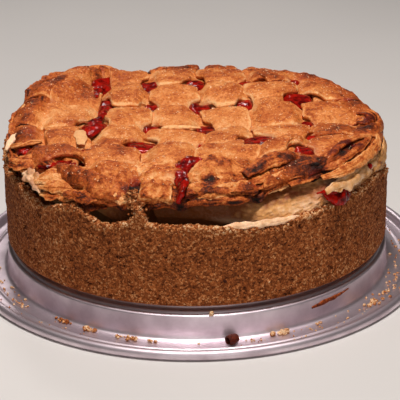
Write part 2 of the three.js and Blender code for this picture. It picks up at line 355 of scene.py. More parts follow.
def node(
    tree: Tree, kind: str, inputs: dict, stops: Sequence[tuple[float, str]] = (), **settings: str | bool
) -> Node:
    """Adds a node.

    Args:
        tree: the material's node tree.
        kind: the node's type name, without ShaderNode in front.
        inputs: by name or number, a value, an output or a node whose first output is linked.
        stops: positions and hex colours of a colour ramp, both of its ends first.
        settings: properties of the node.

    Returns:
        The new node.
    """
    made = tree.nodes.new("ShaderNode" + kind)
    for name, value in settings.items():
        setattr(made, name, value)
    for name, value in inputs.items():
        source = value.outputs[0] if isinstance(value, Node) else value
        if isinstance(source, Socket):
            tree.links.new(source, made.inputs[name])
        else:
            made.inputs[name].default_value = source
    for number, (position, colour) in enumerate(stops):
        band = made.color_ramp.elements
        stop = band[number] if number < 2 else band.new(position)
        stop.position, stop.color = position, linear(colour)
    return made


def start_material(name: str) -> tuple[bpy.types.Material, Tree, Socket]:
    """Makes an empty material.

    Args:
        name: the material's name.

    Returns:
        The material, its tree and the Object coordinates.
    """
    material = bpy.data.materials.new(name)
    material.use_nodes = True
    tree = material.node_tree
    tree.nodes.clear()
    return material, tree, node(tree, "TexCoord", {}).outputs["Object"]


def lumps(size_mm: float, detail: float = 3.0, roughness: float = 0.55) -> dict[str, float]:
    """Returns the inputs of a noise whose coarsest lumps are size_mm across."""
    return {"Scale": 1.0 / (size_mm * MM), "Detail": detail, "Roughness": roughness}


def broken(tree: Tree, mask: str, *parts: tuple[Socket | Node, float]) -> Socket | Node:
    """Breaks up a mask painted on the mesh: adds (pattern - 0.5) * share for each pattern.

    Args:
        tree: the material's node tree.
        mask: the mask's name.
        parts: patterns and their shares.

    Returns:
        What gives the level.
    """
    level = node(tree, "Attribute", {}, attribute_name=mask).outputs["Fac"]
    for pattern, share in parts:
        centred = node(tree, "Math", {0: pattern, 1: 0.5}, operation="SUBTRACT")
        level = node(tree, "Math", {0: centred, 1: share, 2: level}, operation="MULTIPLY_ADD")
    return level


def shade(tree: Tree, inputs: dict) -> None:
    """Ends a material with its Principled shader."""
    node(tree, "OutputMaterial", {"Surface": node(tree, "BsdfPrincipled", inputs)})


@dataclass(frozen=True)
class BakedPastry:
    """Shortcrust pastry baked with an egg wash: satin, golden, darker where it stood up to the heat and where
    shade is painted in.
    """

    name: str = "Baked shortcrust pastry"
    pale: str = "#f8bd80"
    golden: str = "#df8642"
    brown: str = "#b04f18"
    dark: str = "#5a1f05"
    # the darkest stop, reached by burnt spots and by painted shade in cracks, gaps and under flaps
    burnt_and_deep_shade: str = "#1c0b04"
    juice: str = "#a02a22"
    blotch_mm: float = 16.0
    speck_mm: float = 2.2  # blistered specks of the crust
    flour_mm: float = 1.0  # the fine open grain of the crumb, drawn coarse enough to show
    roughness: float = 0.52

    def material(self) -> bpy.types.Material:
        """Builds the material, its browning and painted shade taken from the masks bake and juice."""
        material, tree, place = start_material(self.name)
        blotch = node(tree, "TexNoise", {"Vector": place, **lumps(self.blotch_mm)})
        speck = node(tree, "TexNoise", {"Vector": place, **lumps(self.speck_mm, 4.0, 0.65)})
        grain = node(tree, "TexNoise", {"Vector": place, **lumps(self.flour_mm, 3.0, 0.6)})
        level = broken(tree, "bake", (blotch, 0.5), (speck, 0.6), (grain, 0.55))
        crust = node(tree, "ValToRGB", {0: level}, [
            (0.05, self.pale), (0.98, self.burnt_and_deep_shade),
            (0.34, self.golden), (0.55, self.brown), (0.76, self.dark),
        ])
        juice = node(tree, "Attribute", {}, attribute_name="juice").outputs["Fac"]
        soaked = node(tree, "Math", {0: juice, 1: 0.85}, operation="MULTIPLY")
        rough = node(tree, "MapRange", {
            0: speck, 1: 0.0, 2: 1.0, 3: self.roughness + 0.16, 4: self.roughness - 0.1
        })
        sheen = node(
            tree, "Math", {0: juice, 1: -0.6, 2: rough}, operation="MULTIPLY_ADD", use_clamp=True
        )
        coarse = node(tree, "Bump", {"Height": speck, "Strength": 1.0, "Distance": 1.0 * MM})
        fine = node(tree, "Bump", {"Height": grain, "Strength": 1.0, "Distance": 0.6 * MM, "Normal": coarse})
        colour = node(tree, "Mix", {0: soaked, 6: crust, 7: linear(self.juice)}, data_type="RGBA")
        shade(tree, {
            "Base Color": colour.outputs[2], "Roughness": sheen, "Normal": fine,
            "IOR": 1.36, "Specular IOR Level": 0.35,
            "Subsurface Weight": 0.08, "Subsurface Radius": (0.004, 0.0018, 0.0008),
        })
        return material


@dataclass(frozen=True)
class PressedCrumbs:
    """Biscuit crumbs pressed into a wall and baked: matt, with grains of many browns and small pits."""

    name: str = "Pressed biscuit crumbs"
    dark: str = "#381505"
    middle: str = "#7c3e18"
    light: str = "#a85c2b"
    fleck: str = "#d8a06a"
    inside: str = "#e8c49c"  # the pale inside of a broken crumb
    grain_mm: float = 1.0  # one biscuit grain
    fine_mm: float = 0.6  # its gritty break
    blotch_mm: float = 24.0  # patches that the oven browned more

    def material(self) -> bpy.types.Material:
        """Builds the material: each grain has its own brown, and the mask toast lightens the broken edge and
        darkens the pits as painted shade.
        """
        material, tree, place = start_material(self.name)
        cell = node(tree, "TexVoronoi", {"Vector": place, "Scale": 1 / (self.grain_mm * MM)})
        tone = node(tree, "SeparateColor", {0: cell.outputs["Color"]})
        blotch = node(tree, "TexNoise", {"Vector": place, **lumps(self.blotch_mm)})
        fine = node(tree, "TexNoise", {"Vector": place, **lumps(self.fine_mm, 3.0, 0.65)})
        level = broken(tree, "toast_and_shade", (tone, 0.54), (blotch, 0.15), (fine, 1.1))
        colour = node(tree, "ValToRGB", {0: level}, [
            (0.08, self.dark), (1.0, self.inside),
            (0.42, self.middle), (0.7, self.light), (0.93, self.fleck),
        ])
        edge = cell.outputs["Distance"]
        coarse = node(tree, "Bump", {"Height": edge, "Strength": 0.55, "Distance": 0.5 * MM}, invert=True)
        small = node(tree, "Bump", {"Height": fine, "Strength": 0.6, "Distance": 0.3 * MM, "Normal": coarse})
        shade(tree, {"Base Color": colour, "Roughness": 0.95, "IOR": 1.3, "Normal": small})
        return material


@dataclass(frozen=True)
class BakedCheese:
    """Baked cream cheese: a smooth tan skin, cream white where it is broken, red where cherry juice ran."""

    name: str = "Baked cream cheese"
    cream: str = "#fcd2aa"
    skin: str = "#d99c5c"
    # its darkest stop also serves the painted shade in the recess and under the flaps
    toasted_and_shaded: str = "#84461d"
    juice: str = "#8a1512"
    streak_mm: float = 5.0  # browned streaks up the side
    speck_mm: float = 1.6  # pores of the baked skin
    upright: tuple[float, float, float] = (1.0, 1.0, 0.22)  # draws the streaks out upward

    def material(self) -> bpy.types.Material:
        """Builds the material from the masks toast, cream and juice; toast also holds painted shade."""
        material, tree, place = start_material(self.name)
        stretched = node(tree, "Mapping", {"Vector": place, "Scale": self.upright})
        streak = node(tree, "TexNoise", {"Vector": stretched, **lumps(self.streak_mm)})
        speck = node(tree, "TexNoise", {"Vector": place, **lumps(self.speck_mm)})
        level = broken(tree, "toast_and_shade", (streak, 0.5), (speck, 0.3))
        stops = [(0.1, self.cream), (0.9, self.toasted_and_shaded), (0.5, self.skin)]
        colour = node(tree, "ValToRGB", {0: level}, stops)
        for mask, share, over in (("cream", 0.3, self.cream), ("juice", 0.35, self.juice)):
            amount = node(tree, "Clamp", {0: broken(tree, mask, (speck, share))})
            mixed = node(tree, "Mix", {0: amount, 6: colour, 7: linear(over)}, data_type="RGBA")
            colour = mixed.outputs[2]
        shade(tree, {
            "Base Color": colour, "Roughness": 0.6, "IOR": 1.36,
            "Subsurface Weight": 0.15, "Subsurface Radius": (0.005, 0.003, 0.0015),
            "Normal": node(tree, "Bump", {"Height": speck, "Strength": 0.4, "Distance": 0.5 * MM}),
        })
        return material


@dataclass(frozen=True)
class CherryGel:
    """Cooked cherries in a set, starchy juice: deep red, wet and glossy, lighter where it is thin."""

    name: str = "Cherry gel"
    deep: str = "#480504"
    bright: str = "#b5180c"
    lump_mm: float = 4.2  # bits of fruit in the gel; its wrinkles are a third of that

    def material(self) -> bpy.types.Material:
        """Builds the material."""
        material, tree, place = start_material(self.name)
        lump = node(tree, "TexNoise", {"Vector": place, **lumps(self.lump_mm)})
        wrinkle = node(tree, "TexNoise", {"Vector": place, **lumps(self.lump_mm / 3, 2.0)})
        shade(tree, {
            "Base Color": node(tree, "ValToRGB", {0: lump}, [(0.36, self.deep), (0.7, self.bright)]),
            "Roughness": 0.07, "IOR": 1.33, "Specular IOR Level": 0.3,
            "Subsurface Weight": 0.12, "Subsurface Radius": (0.006, 0.0008, 0.0005),
            "Normal": node(tree, "Bump", {"Height": wrinkle, "Strength": 0.4, "Distance": 0.4 * MM}),
        })
        return material


@dataclass(frozen=True)
class PressedTin:
    """Tinned steel sheet, pressed and rolled: satin, faintly lilac, hazed and a little scratched by use."""

    name: str = "Pressed tinned steel"
    colour: str = "#eadde4"
    haze: str = "#c6b6be"
    roughness: float = 0.47
    haze_mm: float = 22.0  # wiped patches
    scratch_mm: float = 1.2  # wear of the surface, drawn coarser than it is

    def material(self) -> bpy.types.Material:
        """Builds the material."""
        material, tree, place = start_material(self.name)
        haze = node(tree, "TexNoise", {"Vector": place, **lumps(self.haze_mm, 4.0)})
        scratch = node(tree, "TexNoise", {"Vector": place, **lumps(self.scratch_mm, 2.0)})
        shade(tree, {
            "Base Color": node(tree, "ValToRGB", {0: haze}, [(0.32, self.haze), (0.66, self.colour)]),
            "Metallic": 1.0,
            "Roughness": node(tree, "MapRange", {
                0: haze, 1: 0.3, 2: 0.7, 3: self.roughness + 0.08, 4: self.roughness - 0.05
            }),
            "Normal": node(tree, "Bump", {"Height": scratch, "Strength": 0.12, "Distance": 0.1 * MM}),
        })
        return material


@dataclass(frozen=True)
class MottledFinish:
    """A finish of two near tones in a soft pattern. Each tone is its place on the ramp and its colour."""

    name: str
    dark: tuple[float, str]
    light: tuple[float, str]
    tone_mm: float
    roughness: float
    ior: float = 1.5

    def material(self) -> bpy.types.Material:
        """Builds the material."""
        material, tree, place = start_material(self.name)
        tone = node(tree, "TexNoise", {"Vector": place, **lumps(self.tone_mm)})
        colour = node(tree, "ValToRGB", {0: tone}, [self.dark, self.light])
        shade(tree, {"Base Color": colour, "Roughness": self.roughness, "IOR": self.ior})
        return material


@dataclass(frozen=True)
class SugarGrain(MottledFinish):
    """Coarse sugar strewn over the pastry: clear grains that glint."""

    name: str = "Coarse sugar"
    dark: tuple[float, str] = (0.3, "#eebc84")
    light: tuple[float, str] = (0.6, "#ffdfb8")
    tone_mm: float = 3.0
    roughness: float = 0.12
    ior: float = 1.54


@dataclass(frozen=True)
class StudioPaper(MottledFinish):
    """Matt paper of the studio's floor: a plain pale grey, mottled very slightly."""

    name: str = "Matt studio paper"
    dark: tuple[float, str] = (0.3, "#d3cfcc")
    light: tuple[float, str] = (0.7, "#dad6d3")
    tone_mm: float = 400.0
    roughness: float = 0.9


# ---- the pie's form ----------------------------------------------------------------------------


@dataclass(frozen=True)
class PieForm:
    """Sizes shared by the pie's pieces: the solids' forms, with the breaks that only the surface shows.

    What would stand above tallest is pressed down, so that it never rises more than spare above it.
    """

    pitch: float = 31.2
    long_shift: float = 2.5
    centre_top: float = 82.2
    crust_radius: float = 115.0
    crust_bottom: float = 21.75
    crust_wall: float = 7.0
    fold_length: float = 14.0
    tallest: float = 95.0
    spare: float = 3.6

    def long_middle(self, strip: int) -> float:
        """Returns the x of a front-to-back strip, numbered from the left."""
        return (strip - 2.5) * self.pitch + self.long_shift

    def cross_middle(self, strip: int) -> float:
        """Returns the y of a left-to-right strip, numbered from the back."""
        return (2.5 - strip) * self.pitch

    def lattice_top(self, x: Array, y: Array) -> Array:
        """Returns the top of the weave: a dish that climbs outward, with a crest at the back left."""
        radius, bearing = np.hypot(x, y), np.degrees(np.arctan2(y, x))
        dish = 2.4 + 5.6 * swell(bearing, 92, 52) + 3.5 * swell(bearing, 38, 26) - 1.6 * swell(bearing, 0, 14)
        dish += 5.2 * swell(bearing, -44, 28) + 1.4 * swell(bearing, -100, 26)
        crest = 12 * swell(bearing, 146, 25) + 2 * swell(bearing, 2, 26) - 1.6 * swell(bearing, 90, 22)
        return self.centre_top + dish * smoothstep(8, 66, radius) + crest * smoothstep(80, 103, radius)

    def fold_radius(self, bearing: Array) -> Array:
        """Returns the radius at which the pastry starts to fold down."""
        fold = 99 + 3.5 * swell(bearing, 0, 38) + 1.5 * swell(bearing, -52, 24)
        return fold - 1.5 * swell(bearing, -122, 16) - 5 * swell(bearing, -62, 10)

    def rim_radius(self, bearing: Array) -> Array:
        """Returns the pastry's outer edge, drawn in at the front left."""
        lumps = 0.7 * np.sin(np.radians(9 * bearing) + 0.6) + 0.5 * np.sin(np.radians(17 * bearing))
        drawn = 1.4 * swell(bearing, 2, 24) + 1.2 * swell(bearing, 178, 14) - 4.2 * swell(bearing, -143, 26)
        drawn = drawn - 6.0 * swell(bearing, -62, 10)
        return 110.5 + lumps + drawn

    def fold_drop(self, bearing: Array) -> Array:
        """Returns how far the rim's lower edge hangs below its crest."""
        drop = 6.6 + 6.5 * swell(bearing, -158, 22) + 2.0 * swell(bearing, -122, 16)
        return drop - 2.2 * swell(bearing, -58, 22)

    def crust_top(self, bearing: Array) -> Array:
        """Returns the height of the crumb wall's broken edge."""
        crumbs = 0.6 * np.sin(np.radians(13 * bearing)) + 0.45 * np.sin(np.radians(29 * bearing) + 1)
        breaks = 3 * swell(bearing, 180, 9) - 3.4 * swell(bearing, -163, 7) + 5.6 * swell(bearing, -128, 8)
        breaks = breaks - 6.6 * swell(bearing, -73, 12) - 3.2 * swell(bearing, -38, 22)
        return 71.5 + crumbs + breaks - 14.5 * swell(bearing, 2, 17)

    def wall_edge(self, bearing: Array) -> Array:
        """Returns the crumb wall's edge as it broke: measured along the front, the solid's form behind."""
        keys = np.array(WALL_EDGE)
        behind = np.minimum(smoothstep(-160, -170, bearing) + smoothstep(-30, -18, bearing), 1.0)
        return np.interp(bearing, keys[:, 0], keys[:, 1]) * (1 - behind) + self.crust_top(bearing) * behind

    def settle(self, height: Array) -> Array:
        """Returns heights with what would stand above the tallest crest pressed down, by an exponential."""
        above = np.maximum(height - self.tallest, 0.0)
        return np.minimum(height, self.tallest) + self.spare * (1 - np.exp(-above / self.spare))

    def drape(self, x: Array, y: Array) -> tuple[Array, Array, Array]:
        """Lays flat pastry over the lattice and folds it down at the rim.

        Past the fold radius the flat distance runs round a quarter ellipse, out to the rim's edge and down.

        Args:
            x: place on the flat sheet.
            y: place on the flat sheet.

        Returns:
            x, y and the height of the surface.
        """
        flat, bearing = np.hypot(x, y), np.degrees(np.arctan2(y, x))
        fold = self.fold_radius(bearing)
        turn = np.clip((flat - fold) / self.fold_length, 0.0, 1.25) * math.pi / 2  # up to 1.25 quarter turns
        radius = np.where(flat > fold, fold + (self.rim_radius(bearing) - fold) * np.sin(turn), flat)
        share = radius / np.maximum(flat, 1e-6)
        low = self.fold_drop(bearing) * (1.0 - np.cos(turn))
        for lump in LUMPS:
            low = low - lump.height * bell(np.hypot(x * share - lump.x, y * share - lump.y), lump.radius)
        return x * share, y * share, self.lattice_top(x * share, y * share) - low


# The broken edge of the crumb wall: bearing in degrees and height.
WALL_EDGE = (
    (-180, 71), (-161, 69.4), (-151.6, 69.2), (-145, 67.0), (-141, 65.4), (-138, 64.4), (-132.5, 68.0),
    (-126, 72.2), (-122.6, 69), (-117.8, 65), (-114.5, 64.4), (-110, 67), (-108, 69.6), (-106, 75.6),
    (-104.6, 74), (-103.4, 67.6), (-97.8, 67.8), (-89, 67.5), (-82.3, 65.8), (-75.5, 63.8), (-69.8, 63.4),
    (-63.8, 64.6), (-57.3, 66.5), (-50, 68), (-41.8, 69), (-33.9, 70.2), (-24.6, 71.5), (180, 71),
)


@dataclass(frozen=True)
class Opening:
    """A gap in the weave where the cherries show: its middle and its half sizes."""

    x: float
    y: float
    half_width: float
    half_depth: float


OPENINGS = tuple(Opening(*row) for row in (
    (-59, 68, 5.6, 17), (-29, 62, 5.2, 8.5), (0, 63, 5.6, 6.4), (32, 62, 4.2, 5.6), (64, 68, 4.6, 4.4),
    (-55, 33, 3.6, 12), (-27, 31, 3.6, 4.6), (3, 31, 6.4, 5.2), (30, 31, 4.0, 5.0), (63, 34, 8.8, 8.8),
    (-60, -1, 7.6, 9), (-26, 1, 4.6, 4.4), (6, -1, 5.0, 8.0), (67, 0, 3.4, 5.2), (-63, -41, 3.2, 5.0),
    (-31, -31, 9.0, 8.0), (4, -31, 1.6, 2.4), (37, -37, 10.6, 10.6), (67, -30, 2.6, 2.6),
    (-77, -57, 9.6, 5.6), (-3, -71, 7.4, 7.4), (61, -56, 4.6, 7.4), (-97, -31, 8.5, 5.0),
    (-8, -98, 3.4, 14), (-33, -92, 1.6, 12), (33, -93, 1.8, 9), (64, -84, 1.4, 6), (4, 98, 1.6, 8),
    (30, 97, 1.8, 8), (-32, 97, 2.2, 8), (-88, 31, 8, 1.0), (92, 31, 7, 1.0), (94, -2, 6, 1.2),
))


@dataclass(frozen=True)
class Lump:
    """A place where the pastry stands up, or sinks where the height is negative."""

    x: float
    y: float
    radius: float
    height: float


LUMPS = tuple(Lump(*row) for row in (
    (-55, -74, 14, 2.4), (-75, -44, 13, 2.2), (10, -86, 12, 2.6), (-68, 80, 9, 1.2), (18, 97, 10, -0.4),
    (-14, 97, 11, -1.2), (50, 94, 13, -1.0), (-80, 62, 14, 1.8), (-44, 47, 11, 1.3), (-13, 47, 11, 0.8),
    (18, 47, 11, 1.2), (50, 16, 12, 1.4), (-13, -12, 11, 1.0), (-44, 16, 11, 0.8), (50, -46, 11, 1.4),
    (-14, -46, 12, 1.8), (82, 18, 12, 1.2), (84, -34, 11, 1.4), (-90, 12, 12, 1.2), (18, -16, 11, 0.8),
    (-38, -99, 9, -3.0), (-20, -90, 10, 1.4), (50, -74, 9, 1.6), (-16, 16, 12, 0.7), (50, 47, 11, 0.9),
    (-45, 98, 11, -4.8), (-29, 101, 6, -3.0), (-95, 60, 11, -4.5), (-44, 76, 8, 0.8), (2, 99, 5, -2.0),
))


def dress(
    piece: bpy.types.Object, material: bpy.types.Material, replaced: Sequence[str] = ()
) -> bpy.types.Object:
    """Gives a piece its material, its place on the CAD body and the nodes that it stands for.

    Args:
        piece: the object.
        material: its finish.
        replaced: CAD nodes that aren't shown because of it.

    Returns:
        The piece.
    """
    piece.data.materials.append(material)
    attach(piece, "root")
    if replaced:
        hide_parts(*replaced)
    piece.data.calc_loop_triangles()
    LOG.info("%s: %d triangles", piece.name, len(piece.data.loop_triangles))
    return piece


def outward_of(net: Array) -> Array:
    """Returns the level directions away from the centre line."""
    return unit(net * LEVEL, 1.0)


def polar(radius: Array, angle: Array, height: Array | float) -> Array:
    """Returns points from their radius, angle in radians and height."""
    return np.stack(np.broadcast_arrays(radius * np.cos(angle), radius * np.sin(angle), height), axis=-1)


def profiles(bearing: Array, corners: Sequence[tuple[Array | float, Array | float]]) -> Array:
    """Returns sections, bearings by corners by 2, from radii and heights that may change with the bearing."""
    points = [np.stack(np.broadcast_arrays(*corner, bearing)[:2], axis=-1) for corner in corners]
    return np.stack(points, axis=1)


def lathe(profile: Array, bearing: Array) -> Array:
    """Turns profiles round the centre line.

    Args:
        profile: radius and height, bearings by points by 2.
        bearing: degrees, one for each profile.

    Returns:
        A net whose rows run along the profile and whose columns run round: points by bearings by 3.
    """
    return polar(profile[..., 0], np.radians(bearing)[:, None], profile[..., 1]).transpose(1, 0, 2)


def resample(keys: Array, count: int) -> Array:
    """Spreads points evenly along polylines, at the same shares of each of them.

    Args:
        keys: corners, bearings by corners by 2.
        count: points wanted.

    Returns:
        Points, bearings by count by 2, spaced by the mean length of the legs.
    """
    legs = np.linalg.norm(np.diff(keys, axis=1), axis=-1).mean(axis=0)
    reach = np.concatenate([[0.0], np.cumsum(legs)])
    along = np.linspace(0, reach[-1], count)
    start = np.clip(np.searchsorted(reach, along, side="right") - 1, 0, len(legs) - 1)
    part = ((along - reach[start]) / legs[start])[None, :, None]
    return keys[:, start] * (1 - part) + keys[:, start + 1] * part


@dataclass
class SpringformBase:
    """The tin's base: a raised plate in a flat brim with a rolled edge, turned from one section."""

    bearings: int = 300
    bead: float = 2.8
    bead_centre: float = 135.8
    finish: PressedTin = field(default_factory=PressedTin)

    def build(self) -> bpy.types.Object:
        """Turns the section and dresses the piece.

        The section runs from the plate over its sloped edge, two shallow steps, the wall, the fillet and
        the brim to the rolled edge, which is most of a circle, and back along the under face.
        """
        upper = [
            (0.5, 21.4), (60, 21.4), (107.2, 21.4), (108.2, 20.9), (109.3, 18.0), (110.0, 17.3),
            (111.4, 17.2), (112.2, 17.0), (112.7, 16.0), (113.1, 15.6), (114.0, 15.5), (114.7, 15.1),
            (115.0, 14.2),
            (115.3, 4.2), (115.7, 2.4), (116.6, 1.4), (118, 1.0), (121, 0.9), (124.2, 0.9), (124.8, 1.0),
            (125.3, 1.45), (125.9, 1.6), (126.4, 1.5), (126.9, 1.12), (127.3, 0.95), (128, 0.9), (131, 0.9),
            (132.2, 1.1),
        ]
        turns = np.radians(np.arange(170, -91, -12.0))
        size = self.bead
        bead = [(self.bead_centre + size * math.cos(t), size + size * math.sin(t)) for t in turns]
        under = [
            (133.2, 0.05), (126, 0.05), (117, 0.05), (115.4, 0.5), (114.5, 2.2), (114.1, 14.0), (112.2, 14.8),
            (111.2, 16.2), (109.2, 16.4), (108.4, 17.4), (107.0, 20.5), (60, 20.5), (0.5, 20.5),
        ]
        bearing = np.arange(self.bearings) * 360.0 / self.bearings
        stock = Stock()
        stock.add_net(lathe(profiles(bearing, upper + bead + under), bearing), Ends.CAPPED)
        return dress(stock.object("springform_base"), self.finish.material(), ["pan_base"])


@dataclass
class CrumbWall:
    """The cup of baked crumbs, with packed grains in relief, a broken top edge and loose grains along it."""

    form: PieForm
    bearings: int = 1180
    outer_rows: int = 60
    loose: int = 1500
    bridge: int = 260
    floor: float = 8.0
    inside_rows: int = 10  # rows from the foot to the outer side, and from it over the edge

    def edge(self, bearing: Array) -> Array:
        """Returns the top edge with its ragged breaks, in heights."""
        return self.form.wall_edge(bearing) + 1.3 * soft_noise(on_line(bearing * 2.0), 7, 5, 4)

    def build(self, material: bpy.types.Material) -> bpy.types.Object:
        """Turns the section, then moves each point outward by the grains' height.

        The relief is a rounded cap for each grain, plus slow lumps, and a few pits.
        """
        bearing = all_round(self.bearings)
        top = self.edge(bearing)
        inner = self.form.crust_radius - self.form.crust_wall + 1.4 + 2.2 * swell(bearing, 180, 28)
        foot, radius = self.form.crust_bottom, self.form.crust_radius
        low, floor = foot + 0.1, foot + self.floor
        rows = [
            (0.5, foot), (60, foot), (radius - 6, foot),
            (radius - 5, foot - 1.0), (radius - 1.6, foot - 1.1), (radius - 0.8, foot - 0.6),
        ]
        shares = np.linspace(0, 1, self.outer_rows)
        rows += [(radius - 0.5 - 0.5 * share, low + (top - 1.4 - low) * share) for share in shares]
        rows += [(radius - 1.3, top - 0.6), (radius - 2.0, top - 0.1)]
        rows += [(radius - 2.8, top), (radius - 3.6, top - 0.1)]
        rows += [(inner + 1.0, top - 0.5), (inner + 0.4, top - 1.4), (inner, top - 3), (inner, top - 6)]
        rows += [(inner, top - 10), (inner, floor), (60, floor), (0.5, floor)]
        net = lathe(profiles(bearing, rows), bearing)
        coarse, shade = grains(net, 2.3, 11)
        slow = soft_noise(net, 16, 31, 2)
        relief = 0.4 * (0.5 - coarse**2) + 0.22 * soft_noise(net, 1.5, 37) + 0.35 * slow + 0.2 * (shade - 0.5)
        pits = smoothstep(0.3, 0.8, soft_noise(net * np.array([0.7, 0.7, 1.2]), 3.0, 47, 2)) * -1.0
        height = net[..., 2]
        rough = smoothstep(foot - 0.8, foot + 1.4, height)
        near_top = smoothstep(-6, -0.5, height - top[None])
        relief = (relief + pits) * rough * (1 + 1.1 * near_top)
        side = np.where(np.arange(len(rows)) < self.outer_rows + self.inside_rows, 1.0, -1.0)[:, None]
        visible = (np.hypot(net[..., 0], net[..., 1]) > 80).astype(float)
        net = net + outward_of(net) * (relief * side * visible)[..., None]
        net[..., 2] += 0.9 * relief * near_top * visible
        # The pits are also made darker in colour: painted shade in the hollows.
        toast_and_shade = 0.5 + 0.2 * near_top + 0.1 * slow + 0.05 * smoothstep(foot + 14, foot, height) + 0.25 * pits
        stock = Stock()
        stock.add_net(net, Ends.CAPPED, {"toast_and_shade": toast_and_shade})
        return dress(stock.object("crumb_wall"), material, ["crumb_crust"])

    def build_bridge(self, material: bpy.types.Material) -> bpy.types.Object:
        """Heaps grains into the column that still joins the wall's edge to the dough at the front left."""
        random = np.random.default_rng(14)
        share = random.uniform(0, 1, self.bridge)
        line = np.array([-34.0, -99.5, 82.0]) + share[:, None] * np.array([3.6, -9.5, -9.0])
        places = line + random.normal(0, 1, (self.bridge, 3)) * np.array([1.7, 0.9, 1.3])
        sizes, lights = random.uniform(0.5, 1.5, self.bridge), random.uniform(0.4, 0.72, self.bridge)
        stock = scatter(places, sizes, 15, lights)
        return dress(stock.object("crumb_bridge", False), material)

    def build_loose(self, material: bpy.types.Material) -> bpy.types.Object:
        """Strews loose grains over the broken edge, most on its inner side, and sets two on the wall."""
        random = np.random.default_rng(12)
        bearing = random.uniform(-180, 180, self.loose)
        angle = np.radians(bearing)
        inward = random.beta(1.4, 1.6, self.loose) * 6.2
        size = random.uniform(0.45, 1.15, self.loose)
        height = self.edge(bearing) - 0.25 - 0.35 * np.maximum(inward - 3.0, 0) + 0.3 * size
        height -= 1.2 * np.maximum(1.2 - inward, 0)
        radius = self.form.crust_radius - 0.2 - inward
        lights = random.uniform(0.45, 0.74, self.loose)
        single = [[15.0, -114.3, 35.8], [38.6, -108.6, 32.7]]
        places = np.concatenate([polar(radius, angle, height), single])
        size, lights = np.append(size, [1.3, 1.2]), np.append(lights, [0.0, 0.8])
        stock = scatter(places, size, 13, lights)
        return dress(stock.object("crumb_edge_grains", False), material)


@dataclass
class CheeseLayer:
    """The cheese filling: recessed under the rim at the front, a baked skirt over the crust on the right."""

    form: PieForm
    bearings: int = 900
    side_rows: int = 60
    top_radius: float = 104.0
    under_weave: float = 9.5

    def build(self, material: bpy.types.Material) -> bpy.types.Object:
        """Turns the section and adds upright streaks and soft lumps.

        Down its side the radius blends from the recess to the skirt, which bulges as a sine over its height.
        """
        form = self.form
        bearing = all_round(self.bearings)
        angle = np.radians(bearing)
        skirt = smoothstep(-80, -69, bearing) * (1 - smoothstep(24, 40, bearing))
        top = form.lattice_top(self.top_radius * np.cos(angle), self.top_radius * np.sin(angle))
        top = top - self.under_weave
        upper = top + (80.5 - top) * skirt
        lower = form.wall_edge(bearing) - 3.0 - 0.5 * skirt
        hollow = 10.2 * swell(bearing, -98, 24) + 2.0 * swell(bearing, -150, 22)
        side = 105.6 + 1.4 * swell(bearing, 90, 70) - hollow
        side = side + (112.6 - side) * skirt
        slope = 11.0 * swell(bearing, -66, 13) + 5.0 * swell(bearing, -42, 10)
        rows = [(0.5, 31), (60, 31), (90, 31), (92, 40), (side - 4, lower - 3)]
        for share in np.linspace(0, 1, self.side_rows):
            bulge = math.sin(math.pi * min(share * 1.15, 1.0)) ** 0.6
            radius = side - 2.4 * skirt + (2.2 * skirt + 0.5) * bulge - 1.6 * skirt * share**2
            rows.append((radius - slope * share**1.2, lower + (upper - lower) * share))
        rows += [(side - 2.4 - 1.6 * skirt - slope, upper + 0.8)]
        rows += [(side - 5 * skirt - 2.8 - slope, upper + 1.6 * skirt + 0.9)]
        rows += [(96, top + 1.0), (92, top - 1.0), (91, 60), (0.5, 60)]
        net = lathe(profiles(bearing, rows), bearing)
        streak = soft_noise(net * np.array([1.0, 1.0, 0.12]), 4.2, 61, 3)
        lump = soft_noise(net, 8, 67, 3)
        flake = np.abs(soft_noise(net * np.array([0.35, 0.35, 1.6]), 4.0, 69, 3))
        height = (net[..., 2] - lower[None]) / np.maximum(upper - lower, 1.0)[None]
        seen = (np.hypot(net[..., 0], net[..., 1]) > 92).astype(float) * (np.arange(len(rows)) > 4)[:, None]
        upper_part = smoothstep(0.45, 0.9, height)
        broken = np.clip(swell(bearing, -58, 30) + 0.5 * swell(bearing, -10, 30), 0, 1)
        crag = np.abs(soft_noise(net * np.array([0.6, 0.6, 1.3]), 4.0, 65, 5))
        relief = 0.45 * streak + 0.9 * lump + upper_part * skirt * (1.6 * (0.35 - flake) + 0.5 * lump)
        relief = relief + 1.7 * broken * (crag - 0.3) + 0.5 * broken * soft_noise(net, 1.5, 63, 2)
        net = net + outward_of(net) * (relief * seen)[..., None]
        net[..., 2] += 0.5 * lump * seen
        cream = 1.6 * swell(bearing, -71, 8) * bell(height - 0.12, 0.12) + 0.6 * swell(bearing, -160, 20)
        cream = np.clip(cream + 0.4 * swell(bearing, -22, 12) * upper_part, 0, 1)
        toast_and_shade = 0.46 - 0.26 * skirt + 0.16 * skirt * bell(height - 0.35, 0.3)
        # Painted shade: the skirt's upper part under the flaps and the recess under the front rim at bearing
        # -98 are made darker brown.
        toast_and_shade = toast_and_shade + 0.3 * upper_part * skirt * broken + 0.85 * swell(bearing, -98, 22)
        # Painted shade: the hollows between the flakes and the crags are made darker. The lumps are browner.
        toast_and_shade = toast_and_shade + 0.15 * lump + 0.3 * (flake - 0.25) * upper_part + 0.5 * broken * (0.3 - crag)
        # Painted shade darkens the upper part under the folds at bearing -65, and painted light makes it
        # lighter at bearing -46.
        toast_and_shade = toast_and_shade + (0.6 * swell(bearing, -65, 8) - 0.16 * swell(bearing, -46, 7)) * upper_part
        spill = swell(bearing, -45, 7.5) * bell(height - 0.55, 0.3)
        spill = spill + swell(bearing, -31, 2.5) * bell(height - 0.75, 0.2)
        spill = spill + 0.42 * swell(bearing, -54, 7) * bell(height - 0.72, 0.16)
        stock = Stock()
        stock.add_net(net, Ends.CAPPED, {"toast_and_shade": toast_and_shade, "cream": cream, "juice": np.clip(0.9 * spill, 0, 1)})
        return dress(stock.object("cheese_layer"), material, ["cheese_filling"])


